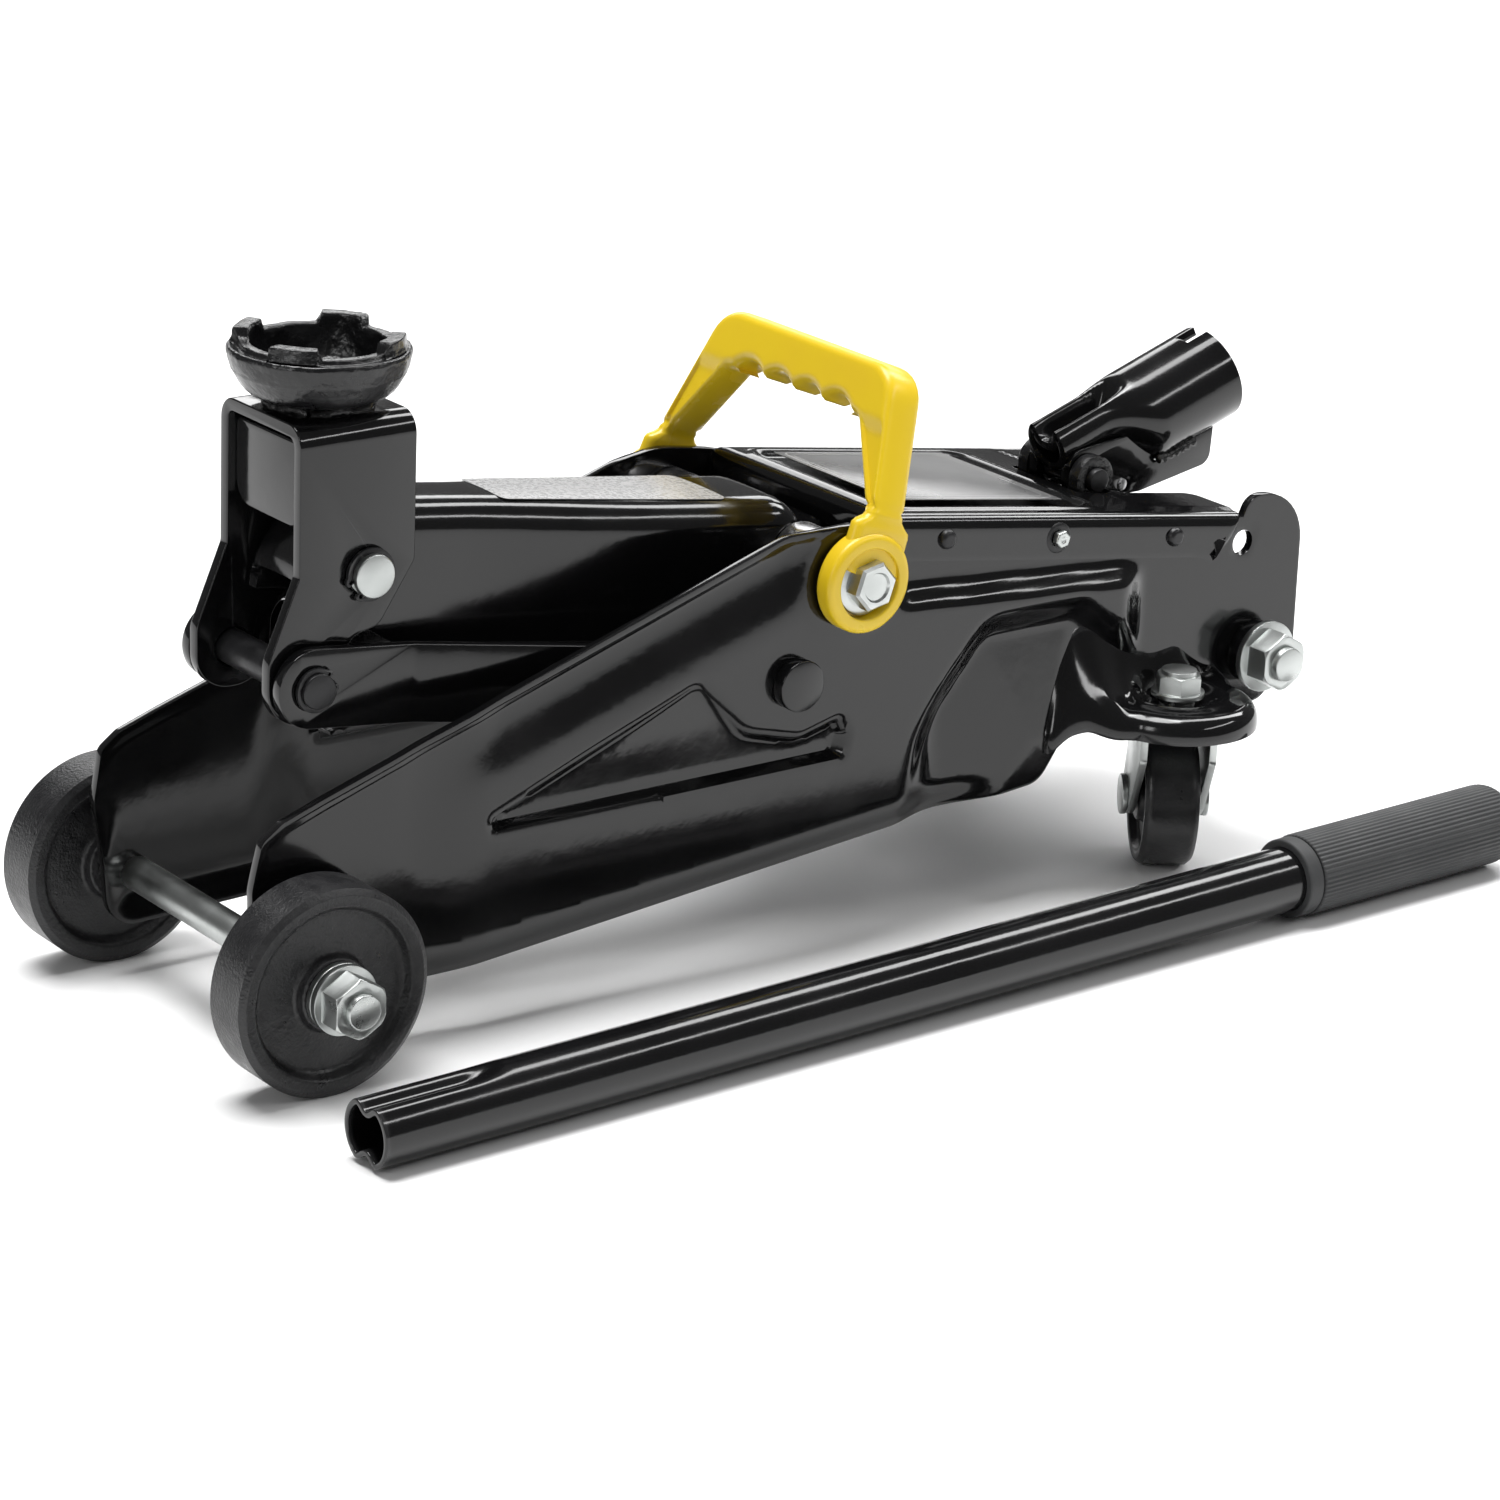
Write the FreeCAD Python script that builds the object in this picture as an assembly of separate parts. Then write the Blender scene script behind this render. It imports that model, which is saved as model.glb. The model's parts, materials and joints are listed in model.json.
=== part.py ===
import FreeCAD, Part
import math
import os

# Compact hydraulic trolley jack.  +X runs from the front wheels to the handle end, +Y is the
# jack's right-hand side, +Z is up.  The origin is on the floor, on the centre line, under the
# front axle.  All sizes are in millimetres.

V = FreeCAD.Vector

# ---------------------------------------------------------------- driving dimensions
running_gap = 0.3            # air between pieces that move past each other
pin_fit = 0.06               # radial clearance of a pin in its hole

# front wheels and axle
wheel_radius = 33.0
wheel_width = 19.0
wheel_inner_face = 53.6      # distance from the centre line
wheel_rim_wall = 6.0
wheel_web = 8.0
axle_radius = 5.5

# side plates
plate_thickness = 3.0
front_half_width = 48.5      # outer faces of the plates beside the wheels
body_half_width = 52.0       # outer faces of the bulged middle
rear_half_width = 46.0       # outer faces of the inset rear end and of the strip under the cover
rear_end_x = 406.0
lobe_top_z = 125.5           # top of the rear lobes that stand up behind the cover
plate_peak_z = 143.5
shoulder_z = 112.0           # where the bulged body steps in under the cover
boss_end_x = 223.0           # rear end of the full-width patch round the arm pivot
bulge_end_x = 318.0          # rear end of the bulged body
rear_start_x = 334.0         # front end of the inset rear part
strip_start_x = 231.0        # front end of the inset strip under the cover

# lift arm, links and saddle bracket
pivot_x = 205.4
pivot_z = 125.3
pivot_shaft_radius = 8.0
arm_length = 165.5
arm_rest_angle = 6.5         # degrees above horizontal, as the jack stands
arm_low_angle = -20.0
arm_high_angle = 50.0
arm_top_height = 20.0        # top of the arm above the line through its two pivots, at the saddle
arm_rear_height = 17.5       # the same at the frame end
arm_depth = 25.0             # bottom edge below that line
arm_wall = 4.0
arm_front_half_width = 17.5
arm_rear_half_width = 22.0
link_offset_x = -22.1        # from each upper pivot to the lower pivot of the same side
link_offset_z = -31.6
link_height = 25.0
link_thickness = 4.0
link_side_gap = 1.5          # between the saddle bracket and each link
link_rear_inner = 42.0       # half gap between the links at the frame end
saddle_pin_radius = 6.8
link_pin_radius = 5.6
stub_pin_radius = 6.0

bracket_half_width = 23.0
link_front_inner = bracket_half_width + link_side_gap
bracket_wall = 4.0
bracket_length = 41.0
bracket_top_z = 190.0

saddle_rim_radius = 28.3
saddle_height = 19.5
saddle_wall = 3.5
saddle_lug_height = 5.5
saddle_lug_turn = 40.0       # degrees from the jack's length to the first lug

# hydraulic unit
crank_radius = 45.0          # from the arm pivot to the push pin
push_pin_radius = 6.0
ram_radius = 11.0
cylinder_outer_radius = 17.0
reservoir_outer_radius = 24.0
reservoir_wall = 2.5
ram_axis_z = 82.0
gland_length = 6.0
block_front_x = 326.0
block_rear_x = 399.0
block_half_width = 30.0
block_bottom_z = 57.0
block_top_z = 100.0
plunger_x = 355.4
plunger_radius = 5.0

# handle socket
socket_pivot_x = 338.0
socket_pivot_z = 130.0
socket_angle = 19.0
socket_outer_radius = 17.0
socket_bore_radius = 13.0
socket_length = 68.0

# top cover
cover_front_x = 222.0
cover_rear_x = 379.0
cover_thickness = 2.0
cover_half_width = 48.5
cover_slope = 0.14
cover_front_z = 143.2
cover_skirt = 15.0
cover_cut_front_x = 343.0     # front edge of the opening round the handle socket
cover_cut_half_width = 21.0
cover_slot_front_x = 329.0    # the narrower slot in front of it, for the socket's ears
cover_slot_half_width = 19.0

# rear cross bolt
cross_bolt_x = 388.0
cross_bolt_z = 69.5
cross_bolt_radius = 6.0
spacer_length = 6.0

# casters
caster_x = 342.0
caster_y = 60.0
caster_trail = 14.5
caster_radius = 24.0
caster_width = 19.0
caster_plate_top_z = 65.0
caster_plate_thickness = 4.0
caster_ear_radius = 28.0
kingpin_radius = 6.0
fork_wall = 2.5
caster_race_space = 4.5      # between the shelf and the fork, for the ball races

# carry handle
carry_lean = 21.0            # degrees rearward of upright
carry_reach = 67.5
carry_ring_radius = 16.5
carry_ring_inner = 53.0
carry_ring_width = 7.5
carry_top_half_width = 45.0
carry_ring_recess = 4.0      # depth of the bolt heads' seats in the rings
carry_bar_depth = 15.0

# loose handle bar
bar_radius = 11.0
bar_wall = 1.8
bar_front_x = -20.0
bar_front_y = -120.3
bar_yaw = 1.46
bar_tube_length = 375.0
bar_collar_length = 6.0
bar_collar_radius = 13.5
bar_grip_length = 96.0
bar_grip_radius = 14.0

# ---------------------------------------------------------------- derived places
upper_x = pivot_x - arm_length * math.cos(math.radians(arm_rest_angle))
upper_z = pivot_z + arm_length * math.sin(math.radians(arm_rest_angle))
lower_x = upper_x + link_offset_x
lower_z = upper_z + link_offset_z
stub_x = pivot_x + link_offset_x
stub_z = pivot_z + link_offset_z
stroke_mid_angle = (arm_low_angle + arm_high_angle) / 2.0
crank_turn = math.radians(arm_rest_angle - stroke_mid_angle)
push_x = pivot_x - crank_radius * math.sin(crank_turn)
push_z = pivot_z - crank_radius * math.cos(crank_turn)
front_inner = front_half_width - plate_thickness
body_inner = body_half_width - plate_thickness
rear_inner = rear_half_width - plate_thickness
caster_plate_bottom_z = caster_plate_top_z - caster_plate_thickness
fork_top_z = caster_plate_bottom_z - caster_race_space
big = 400.0                  # longer than anything it cuts


# ---------------------------------------------------------------- helpers
def rod(radius, start, end):
    """Round bar between two points."""
    a = V(*start)
    b = V(*end)
    return Part.makeCylinder(radius, (b - a).Length, a, b - a)


def tube(outer, inner, start, end):
    return rod(outer, start, end).cut(rod(inner, start, end))


def cone(radius_start, radius_end, start, end):
    a = V(*start)
    b = V(*end)
    return Part.makeCone(radius_start, radius_end, (b - a).Length, a, b - a)


def box(x0, x1, y0, y1, z0, z1):
    return Part.makeBox(x1 - x0, y1 - y0, z1 - z0, V(x0, y0, z0))


def fuse(shapes):
    result = shapes[0]
    for shape in shapes[1:]:
        result = result.fuse(shape)
    return result.removeSplitter()


def mirror_y(shape):
    return shape.mirror(V(0, 0, 0), V(0, 1, 0))


def pair(shape):
    """The shape and its mirror image about the centre plane, as separate solids."""
    return Part.makeCompound([shape, mirror_y(shape)])


def rounded_wire(corners, place):
    """Closed wire through corners (a, b, radius); place turns (a, b) into a point."""
    points = [V(a, b, 0) for a, b, radius in corners]
    edges = []
    last_end = None
    first_start = None
    count = len(corners)
    for i in range(count):
        here = points[i]
        before = (points[i - 1] - here).normalize()
        after = (points[(i + 1) % count] - here).normalize()
        radius = corners[i][2]
        half = before.getAngle(after) / 2.0
        if radius > 0:
            reach = radius / math.tan(half)
            start = here + before * reach
            end = here + after * reach
            middle_way = (before + after).normalize()
            middle = here + middle_way * (radius / math.sin(half) - radius)
        else:
            start = here
            end = here
        if last_end is not None and (start - last_end).Length > 1e-6:
            edges.append(Part.LineSegment(place(last_end), place(start)).toShape())
        if radius > 0:
            edges.append(Part.Arc(place(start), place(middle), place(end)).toShape())
        if first_start is None:
            first_start = start
        last_end = end
    if (first_start - last_end).Length > 1e-6:
        edges.append(Part.LineSegment(place(last_end), place(first_start)).toShape())
    return Part.Wire(edges)


def prism_xz(corners, y0, y1):
    """Outline in the XZ plane, extruded along Y."""
    wire = rounded_wire(corners, lambda p: V(p.x, y0, p.y))
    return Part.Face(wire).extrude(V(0, y1 - y0, 0))


def prism_xy(corners, z0, z1):
    """Outline in the XY plane, extruded along Z."""
    wire = rounded_wire(corners, lambda p: V(p.x, p.y, z0))
    return Part.Face(wire).extrude(V(0, 0, z1 - z0))


def prism_yz(corners, x0, x1):
    """Outline in the YZ plane, extruded along X."""
    wire = rounded_wire(corners, lambda p: V(x0, p.x, p.y))
    return Part.Face(wire).extrude(V(x1 - x0, 0, 0))


def slab(radius, x0, z0, x1, z1, y0, y1):
    """Bar with two round ends in the XZ plane."""
    along = V(x1 - x0, 0, z1 - z0)
    across = V(-along.z, 0, along.x).normalize() * radius
    a = V(x0, y0, z0)
    b = V(x1, y0, z1)
    body = Part.makePolygon([a + across, b + across, b - across, a - across, a + across])
    middle = Part.Face(body).extrude(V(0, y1 - y0, 0))
    ends = [rod(radius, (x, y0, z), (x, y1, z)) for x, z in ((x0, z0), (x1, z1))]
    return fuse([middle] + ends)


def turn_y(shape, x, z, degrees):
    """Turns a shape about a line along Y; positive turns lift the -X side."""
    turned = shape.copy()
    turned.rotate(V(x, 0, z), V(0, 1, 0), degrees)
    return turned


def hexagon(across_flats, start, end):
    a = V(*start)
    b = V(*end)
    way = (b - a).normalize()
    side = V(0, 0, 1)
    if abs(way.z) > 0.9:
        side = V(1, 0, 0)
    other = way.cross(side)
    corner = across_flats / 2.0 / math.cos(math.pi / 6)
    points = []
    for i in range(7):
        turn = math.pi / 3 * i
        points.append(a + side * (corner * math.cos(turn)) + other * (corner * math.sin(turn)))
    prism = Part.Face(Part.makePolygon(points)).extrude(b - a)
    length = (b - a).Length
    crown = Part.makeCone(corner + length * 0.9, corner * 0.9, length, a, b - a)
    return prism.common(crown)


def nut_along_y(across_flats, flange_radius, bore, x, z, y0, height, sign):
    """Flanged nut whose washer face is at y0 and which grows in the sign direction."""
    flange = rod(flange_radius, (x, y0, z), (x, y0 + sign * height * 0.22, z))
    crown = hexagon(across_flats, (x, y0 + sign * height * 0.2, z), (x, y0 + sign * height, z))
    nut = flange.fuse(crown)
    return nut.cut(rod(bore, (x, y0 - sign, z), (x, y0 + sign * (height + 1), z)))


def circlip_along_y(x, z, y0, y1, inner, outer, gap_angle):
    """Retaining ring with two ears; gap_angle is where its mouth points."""
    ring = tube(outer, inner, (x, y0, z), (x, y1, z))
    mouth = box(x, x + 2 * outer, y0 - 1, y1 + 1, z - inner * 0.35, z + inner * 0.35)
    ring = ring.cut(mouth)
    ear_x = x + outer * 0.8
    ear_rise = inner * 0.5
    for side in (-1, 1):
        ear = rod(outer * 0.2, (ear_x, y0, z + side * ear_rise), (ear_x, y1, z + side * ear_rise))
        ring = ring.fuse(ear)
    for side in (-1, 1):
        eye_z = z + side * ear_rise
        ring = ring.cut(rod(outer * 0.08, (ear_x, y0 - 1, eye_z), (ear_x, y1 + 1, eye_z)))
    ring = ring.cut(mouth)
    ring = ring.cut(rod(inner, (x, y0 - 1, z), (x, y1 + 1, z)))
    return turn_y(ring, x, z, -gap_angle)


def cover_top_z(x):
    """Height of the cover's top face above the floor."""
    return cover_front_z - cover_slope * (x - cover_front_x)


nodes = {}


def part(name, shape):
    nodes[name] = shape


# ---------------------------------------------------------------- side plates
def plate_outline():
    """Outline of one side plate in the XZ plane."""
    tail_x = cross_bolt_x - 14.0
    tail_z = cross_bolt_z - 19.0
    under = running_gap + cover_thickness
    return [
        (-wheel_radius * 0.45, 60.0, 8.0),
        (-11.5, 17.0, 11.0),
        (40.0, 18.5, 12.0),
        (289.0, 41.0, 10.0),
        (301.0, fork_top_z + 1.5, 6.0),
        (tail_x, fork_top_z + 1.5, 4.0),
        (tail_x + 9.0, tail_z, 5.0),
        (tail_x + 20.0, tail_z, 8.0),
        (rear_end_x + 1.0, cross_bolt_z - 2.0, 10.0),
        (rear_end_x, lobe_top_z, 19.0),
        (cover_rear_x + 4.5, lobe_top_z, 3.0),
        (cover_rear_x + 1.5, cover_top_z(cover_rear_x) - under, 0),
        (cover_front_x, cover_top_z(cover_front_x) - under, 6.0),
        (pivot_x - 3.0, plate_peak_z, 30.0),
        (pivot_x - 24.0, plate_peak_z - 1.5, 18.0),
        (9.0, 85.5, 8.0),
        (-5.0, 80.5, 5.0),
        (-11.8, 75.5, 5.0),
    ]


def plate_plan(steps, y_sign):
    """Plan outline of a joggled sheet: steps are (x, outer half width)."""
    outer = [(x, y_sign * half, 0) for x, half in steps]
    inner = [(x, y_sign * (half - plate_thickness), 0) for x, half in reversed(steps)]
    return outer + inner


def side_plate():
    """Plate on the -Y side."""
    front_steps = [(-60.0, front_half_width), (46.0, front_half_width), (62.0, body_half_width)]
    low = plate_plan(front_steps + [(bulge_end_x, body_half_width), (rear_start_x, rear_half_width),
                                    (rear_end_x + 60.0, rear_half_width)], -1)
    high = plate_plan(front_steps + [(boss_end_x, body_half_width), (strip_start_x, rear_half_width),
                                     (rear_end_x + 60.0, rear_half_width)], -1)
    shape = prism_xy(low, 0, shoulder_z).fuse(prism_xy(high, shoulder_z - plate_thickness, 200.0))
    ledge = prism_xy([(boss_end_x, -rear_inner, 0), (boss_end_x, -body_half_width, 0),
                      (bulge_end_x, -body_half_width, 0), (rear_start_x, -rear_half_width, 0),
                      (rear_start_x, -rear_inner, 0)], shoulder_z - plate_thickness, shoulder_z)
    shape = shape.fuse(ledge)
    shape = shape.common(prism_xz(plate_outline(), -80.0, 0.0))
    holes = [
        (0.0, wheel_radius, axle_radius + pin_fit),
        (pivot_x, pivot_z, pivot_shaft_radius + pin_fit),
        (stub_x, stub_z, stub_pin_radius + pin_fit),
        (cross_bolt_x, cross_bolt_z, cross_bolt_radius + pin_fit),
        (380.0, 109.5, 4.5),
    ]
    for x, z, radius in holes:
        shape = shape.cut(rod(radius, (x, -80.0, z), (x, 0.0, z)))
    for x, z in cover_screw_places():
        shape = shape.cut(rod(screw_radius + pin_fit, (x, -80.0, z), (x, 0.0, z)))
    return shape.removeSplitter()


screw_radius = 2.4
screw_xs = (246.0, 294.0, 346.0)


def cover_screw_places():
    """Centres of the screws that hold the cover's skirt."""
    return [(x, cover_top_z(x) - cover_skirt * 0.55) for x in screw_xs]


left_plate = side_plate()
part("side_plate_left", left_plate)
part("side_plate_right", mirror_y(left_plate))


# ---------------------------------------------------------------- front axle and wheels
axle_end = wheel_inner_face + wheel_width + 16.0
axle_z = wheel_radius
part("front_axle", rod(axle_radius, (0, -axle_end, axle_z), (0, axle_end, axle_z)))

washer_thickness = 2.5
washer = tube(11.0, axle_radius + pin_fit,
              (0, wheel_inner_face + wheel_width + running_gap, axle_z),
              (0, wheel_inner_face + wheel_width + running_gap + washer_thickness, axle_z))
part("axle_washers", pair(washer))

nut_start = wheel_inner_face + wheel_width + running_gap + washer_thickness
axle_nut = nut_along_y(17.0, 11.0, axle_radius + pin_fit, 0, axle_z, nut_start, 11.0, 1)
part("axle_nuts", pair(axle_nut))

collar = tube(9.0, axle_radius + pin_fit, (0, front_half_width, axle_z),
              (0, wheel_inner_face - running_gap, axle_z))
part("axle_spacers", pair(collar))


def front_wheel():
    """Cast wheel on the -Y side: rim, sunk web, raised ring and hub."""
    inner_y = -wheel_inner_face
    outer_y = inner_y - wheel_width
    shape = rod(wheel_radius, (0, outer_y, axle_z), (0, inner_y, axle_z))
    recess = (wheel_width - wheel_web) / 2.0
    bowl = wheel_radius - wheel_rim_wall
    shape = shape.cut(cone(bowl + 1.0, bowl - 1.5, (0, outer_y, axle_z),
                           (0, outer_y + recess, axle_z)))
    shape = shape.cut(cone(bowl + 1.0, bowl - 1.5, (0, inner_y, axle_z),
                           (0, inner_y - recess, axle_z)))
    hub = rod(12.0, (0, outer_y, axle_z), (0, inner_y, axle_z))
    shape = shape.fuse(hub)
    shape = shape.cut(rod(axle_radius + pin_fit, (0, outer_y - 1, axle_z), (0, inner_y + 1, axle_z)))
    return shape.removeSplitter()


left_wheel = front_wheel()
part("front_wheel_left", left_wheel)
part("front_wheel_right", mirror_y(left_wheel))


# ---------------------------------------------------------------- lift arm
# places on the arm while it is level, before it is turned to its rest angle
arm_front_x = pivot_x - arm_length
crank_x = pivot_x + crank_radius * math.sin(math.radians(stroke_mid_angle))
crank_z = pivot_z - crank_radius * math.cos(math.radians(stroke_mid_angle))


def arm_outline():
    """Side outline with the arm level: the front pivot lies at -arm_length from the rear one."""
    return [
        (pivot_x - 9.0, pivot_z + arm_rear_height, 4.0),
        (arm_front_x + 10.0, pivot_z + arm_top_height, 8.0),
        (arm_front_x - 16.0, pivot_z + 9.0, 9.0),
        (arm_front_x - 16.0, pivot_z - 13.0, 9.0),
        (arm_front_x + 24.0, pivot_z - arm_depth, 8.0),
        (pivot_x - 40.0, pivot_z - arm_depth - 2.0, 12.0),
        (crank_x - 12.0, crank_z - 2.0, 6.0),
        (crank_x - 2.0, crank_z - 11.0, 8.0),
        (crank_x + 11.0, crank_z + 1.0, 9.0),
        (pivot_x + 14.5, pivot_z - 3.0, 8.0),
        (pivot_x + 9.0, pivot_z + 10.0, 5.0),
        (pivot_x - 3.0, pivot_z + 13.0, 2.0),
    ]


def arm_plan(inset):
    """Half width of the arm, narrow at the saddle end, as a plan outline."""
    start = arm_front_x - 30.0
    narrow = arm_front_half_width - inset
    wide = arm_rear_half_width - inset
    neck_x = pivot_x - 120.0
    shoulder_x = pivot_x - 60.0
    end = pivot_x + 60.0
    return [(start, -narrow, 0), (neck_x, -narrow, 20.0), (shoulder_x, -wide, 20.0),
            (end, -wide, 0), (end, wide, 0), (shoulder_x, wide, 20.0),
            (neck_x, narrow, 20.0), (start, narrow, 0)]


def lift_arm():
    """Stamped channel: a top wall that folds down over the nose, and two side walls."""
    outline = arm_outline()
    whole = prism_xz(outline, -60.0, 60.0).common(prism_xy(arm_plan(0.0), 0.0, 260.0))
    ceiling = [(arm_front_x - 40.0, 0.0, 0), (pivot_x + 60.0, 0.0, 0),
               (pivot_x + 60.0, pivot_z + arm_rear_height - arm_wall - 1.0, 0),
               (arm_front_x + 10.0, pivot_z + arm_top_height - arm_wall, 6.0),
               (arm_front_x - 16.0, pivot_z + 9.0 - arm_wall, 0),
               (arm_front_x - 40.0, pivot_z + 9.0 - arm_wall, 0)]
    hollow = prism_xz(ceiling, -60.0, 60.0).common(prism_xy(arm_plan(arm_wall), 0.0, 260.0))
    shape = whole.cut(hollow)
    for x, z, radius in ((pivot_x, pivot_z, pivot_shaft_radius + pin_fit),
                         (arm_front_x, pivot_z, saddle_pin_radius + pin_fit),
                         (crank_x, crank_z, push_pin_radius + pin_fit)):
        shape = shape.cut(rod(radius, (x, -80.0, z), (x, 80.0, z)))
    return turn_y(shape, pivot_x, pivot_z, arm_rest_angle).removeSplitter()


part("lift_arm", lift_arm())

push_half = arm_rear_half_width + 2.0
part("push_pin", rod(push_pin_radius, (push_x, -push_half, push_z), (push_x, push_half, push_z)))

clip_thickness = 1.3
clip_gap = 0.3
saddle_pin_end = bracket_half_width + clip_gap + clip_thickness + 2.6


def grooved_pin(radius, groove_radius, x, z, half_length, clip_start):
    """Round pin with a retaining-ring groove near each end."""
    shape = rod(radius, (x, -half_length, z), (x, half_length, z))
    for sign in (-1, 1):
        groove = tube(radius + 1, groove_radius, (x, sign * clip_start, z),
                      (x, sign * (clip_start + clip_thickness), z))
        shape = shape.cut(groove)
    return shape


saddle_clip_start = bracket_half_width + clip_gap
part("saddle_pin", grooved_pin(saddle_pin_radius, saddle_pin_radius - 0.8, upper_x, upper_z,
                               saddle_pin_end, saddle_clip_start))
saddle_clip = circlip_along_y(upper_x, upper_z, saddle_clip_start,
                              saddle_clip_start + clip_thickness,
                              saddle_pin_radius - 0.8 + pin_fit, saddle_pin_radius + 1.6, 215.0)
part("saddle_pin_clips", pair(saddle_clip))

# pivot shaft of the arm, spacer bushes and the bolts in its ends
shaft_half = body_half_width
shaft = rod(pivot_shaft_radius, (pivot_x, -shaft_half, pivot_z), (pivot_x, shaft_half, pivot_z))
bolt_radius = 5.0
bolt_depth = 22.0
for sign in (-1, 1):
    shaft = shaft.cut(rod(bolt_radius + pin_fit, (pivot_x, sign * (shaft_half + 1), pivot_z),
                          (pivot_x, sign * (shaft_half - bolt_depth), pivot_z)))
part("arm_pivot_shaft", shaft)

bush = tube(11.0, pivot_shaft_radius + pin_fit,
            (pivot_x, arm_rear_half_width + running_gap, pivot_z), (pivot_x, body_inner, pivot_z))
part("arm_pivot_bushes", pair(bush))

bolt_head_radius = 10.5
head_start = carry_ring_inner + carry_ring_width - carry_ring_recess + running_gap
handle_bolt = fuse([
    rod(bolt_radius, (pivot_x, shaft_half - bolt_depth + 2.0, pivot_z),
        (pivot_x, shaft_half, pivot_z)),
    rod(pivot_shaft_radius, (pivot_x, shaft_half, pivot_z), (pivot_x, head_start, pivot_z)),
    rod(bolt_head_radius, (pivot_x, head_start, pivot_z), (pivot_x, head_start + 1.8, pivot_z)),
    hexagon(15.0, (pivot_x, head_start + 1.6, pivot_z), (pivot_x, head_start + 7.5, pivot_z)),
])
part("handle_bolts", pair(handle_bolt))


# ---------------------------------------------------------------- link bars
def link_bar():
    """Flat bar on the -Y side, cranked outwards towards the frame."""
    front_y = -link_front_inner
    rear_y = -link_rear_inner
    bend_front = lower_x + 36.0
    bend_rear = stub_x - 46.0
    half = link_height / 2.0
    start = lower_x - half - 5.0
    end = stub_x + half + 5.0
    plan = [(start, front_y, 0), (bend_front, front_y, 12.0), (bend_rear, rear_y, 12.0),
            (end, rear_y, 0), (end, rear_y - link_thickness, 0),
            (bend_rear, rear_y - link_thickness, 12.0),
            (bend_front, front_y - link_thickness, 12.0), (start, front_y - link_thickness, 0)]
    profile = slab(half, lower_x, lower_z, stub_x, stub_z, -80.0, 0.0)
    shape = prism_xy(plan, 0.0, 200.0).common(profile)
    shape = shape.cut(rod(link_pin_radius + pin_fit, (lower_x, -80.0, lower_z),
                          (lower_x, 0.0, lower_z)))
    shape = shape.cut(rod(stub_pin_radius + pin_fit, (stub_x, -80.0, stub_z),
                          (stub_x, 0.0, stub_z)))
    return shape.removeSplitter()


left_link = link_bar()
part("link_bar_left", left_link)
part("link_bar_right", mirror_y(left_link))

link_clip_start = link_front_inner + link_thickness + clip_gap
link_pin_end = link_clip_start + clip_thickness + 1.6
part("link_pin", grooved_pin(link_pin_radius, link_pin_radius - 0.7, lower_x, lower_z,
                             link_pin_end, link_clip_start))
link_clip = circlip_along_y(lower_x, lower_z, link_clip_start, link_clip_start + clip_thickness,
                            link_pin_radius - 0.7 + pin_fit, link_pin_radius + 1.4, 25.0)
part("link_pin_clips", pair(link_clip))

stub_pin = fuse([
    rod(stub_pin_radius, (stub_x, link_rear_inner - 2.2, stub_z),
        (stub_x, body_half_width, stub_z)),
    rod(8.5, (stub_x, body_half_width, stub_z), (stub_x, body_half_width + 4.6, stub_z)),
    tube(8.5, stub_pin_radius - 0.5, (stub_x, link_rear_inner + link_thickness + running_gap, stub_z),
         (stub_x, body_inner, stub_z)),
    rod(8.0, (stub_x, link_rear_inner - 2.2, stub_z),
        (stub_x, link_rear_inner - running_gap, stub_z)),
])
part("link_pivot_pins", pair(stub_pin))


# ---------------------------------------------------------------- saddle bracket and saddle
saddle_x = upper_x - 4.0
bracket_front_x = saddle_x - bracket_length / 2.0
bracket_rear_x = saddle_x + bracket_length / 2.0
open_pivot_gap = 0.6         # radial clearance at the pivot where the linkage is opened


def bracket_outline():
    """Side wall of the bracket, with the ear that reaches down to the lower pin."""
    return [
        (bracket_front_x, bracket_top_z, 0),
        (bracket_front_x, upper_z + 2.0, 3.0),
        (lower_x - 13.0, lower_z + 8.0, 10.0),
        (lower_x - 13.0, lower_z - 13.0, 12.5),
        (lower_x + 13.0, lower_z - 13.0, 12.5),
        (lower_x + 14.0, lower_z + 12.0, 8.0),
        (upper_x + 4.0, upper_z - 17.0, 6.0),
        (bracket_rear_x, upper_z + 2.0, 4.0),
        (bracket_rear_x, bracket_top_z, 0),
    ]


def saddle_bracket():
    """Inverted U of thick plate with rounded bends along its top."""
    corner = 7.0
    half = bracket_half_width
    inside = half - bracket_wall
    whole = prism_xz(bracket_outline(), -half, half)
    section = prism_yz([(-half, 0.0, 0), (half, 0.0, 0), (half, bracket_top_z, corner),
                        (-half, bracket_top_z, corner)], -20.0, 120.0)
    hollow = prism_yz([(-inside, -1.0, 0), (inside, -1.0, 0),
                       (inside, bracket_top_z - bracket_wall, corner - bracket_wall),
                       (-inside, bracket_top_z - bracket_wall, corner - bracket_wall)],
                      -20.0, 120.0)
    shape = whole.common(section).cut(hollow)
    shape = shape.cut(rod(saddle_pin_radius + pin_fit, (upper_x, -60.0, upper_z),
                          (upper_x, 60.0, upper_z)))
    shape = shape.cut(rod(link_pin_radius + open_pivot_gap, (lower_x, -60.0, lower_z),
                          (lower_x, 60.0, lower_z)))
    bead = cone(14.0, 10.5, (saddle_x, 0, bracket_top_z), (saddle_x, 0, bracket_top_z + 2.5))
    return shape.fuse(bead).removeSplitter()


part("saddle_bracket", saddle_bracket())

front_plate_inside = bracket_half_width - bracket_wall
front_plate = prism_yz([(-front_plate_inside, bracket_top_z - bracket_wall, 3.0),
                        (-front_plate_inside, bracket_top_z - 31.0, 8.0),
                        (front_plate_inside, bracket_top_z - 31.0, 8.0),
                        (front_plate_inside, bracket_top_z - bracket_wall, 3.0)],
                       bracket_front_x + 3.0, bracket_front_x + 6.0)
part("bracket_front_plate", front_plate)

saddle_base_z = bracket_top_z + 2.5
saddle_rim_z = bracket_top_z + saddle_height


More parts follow.
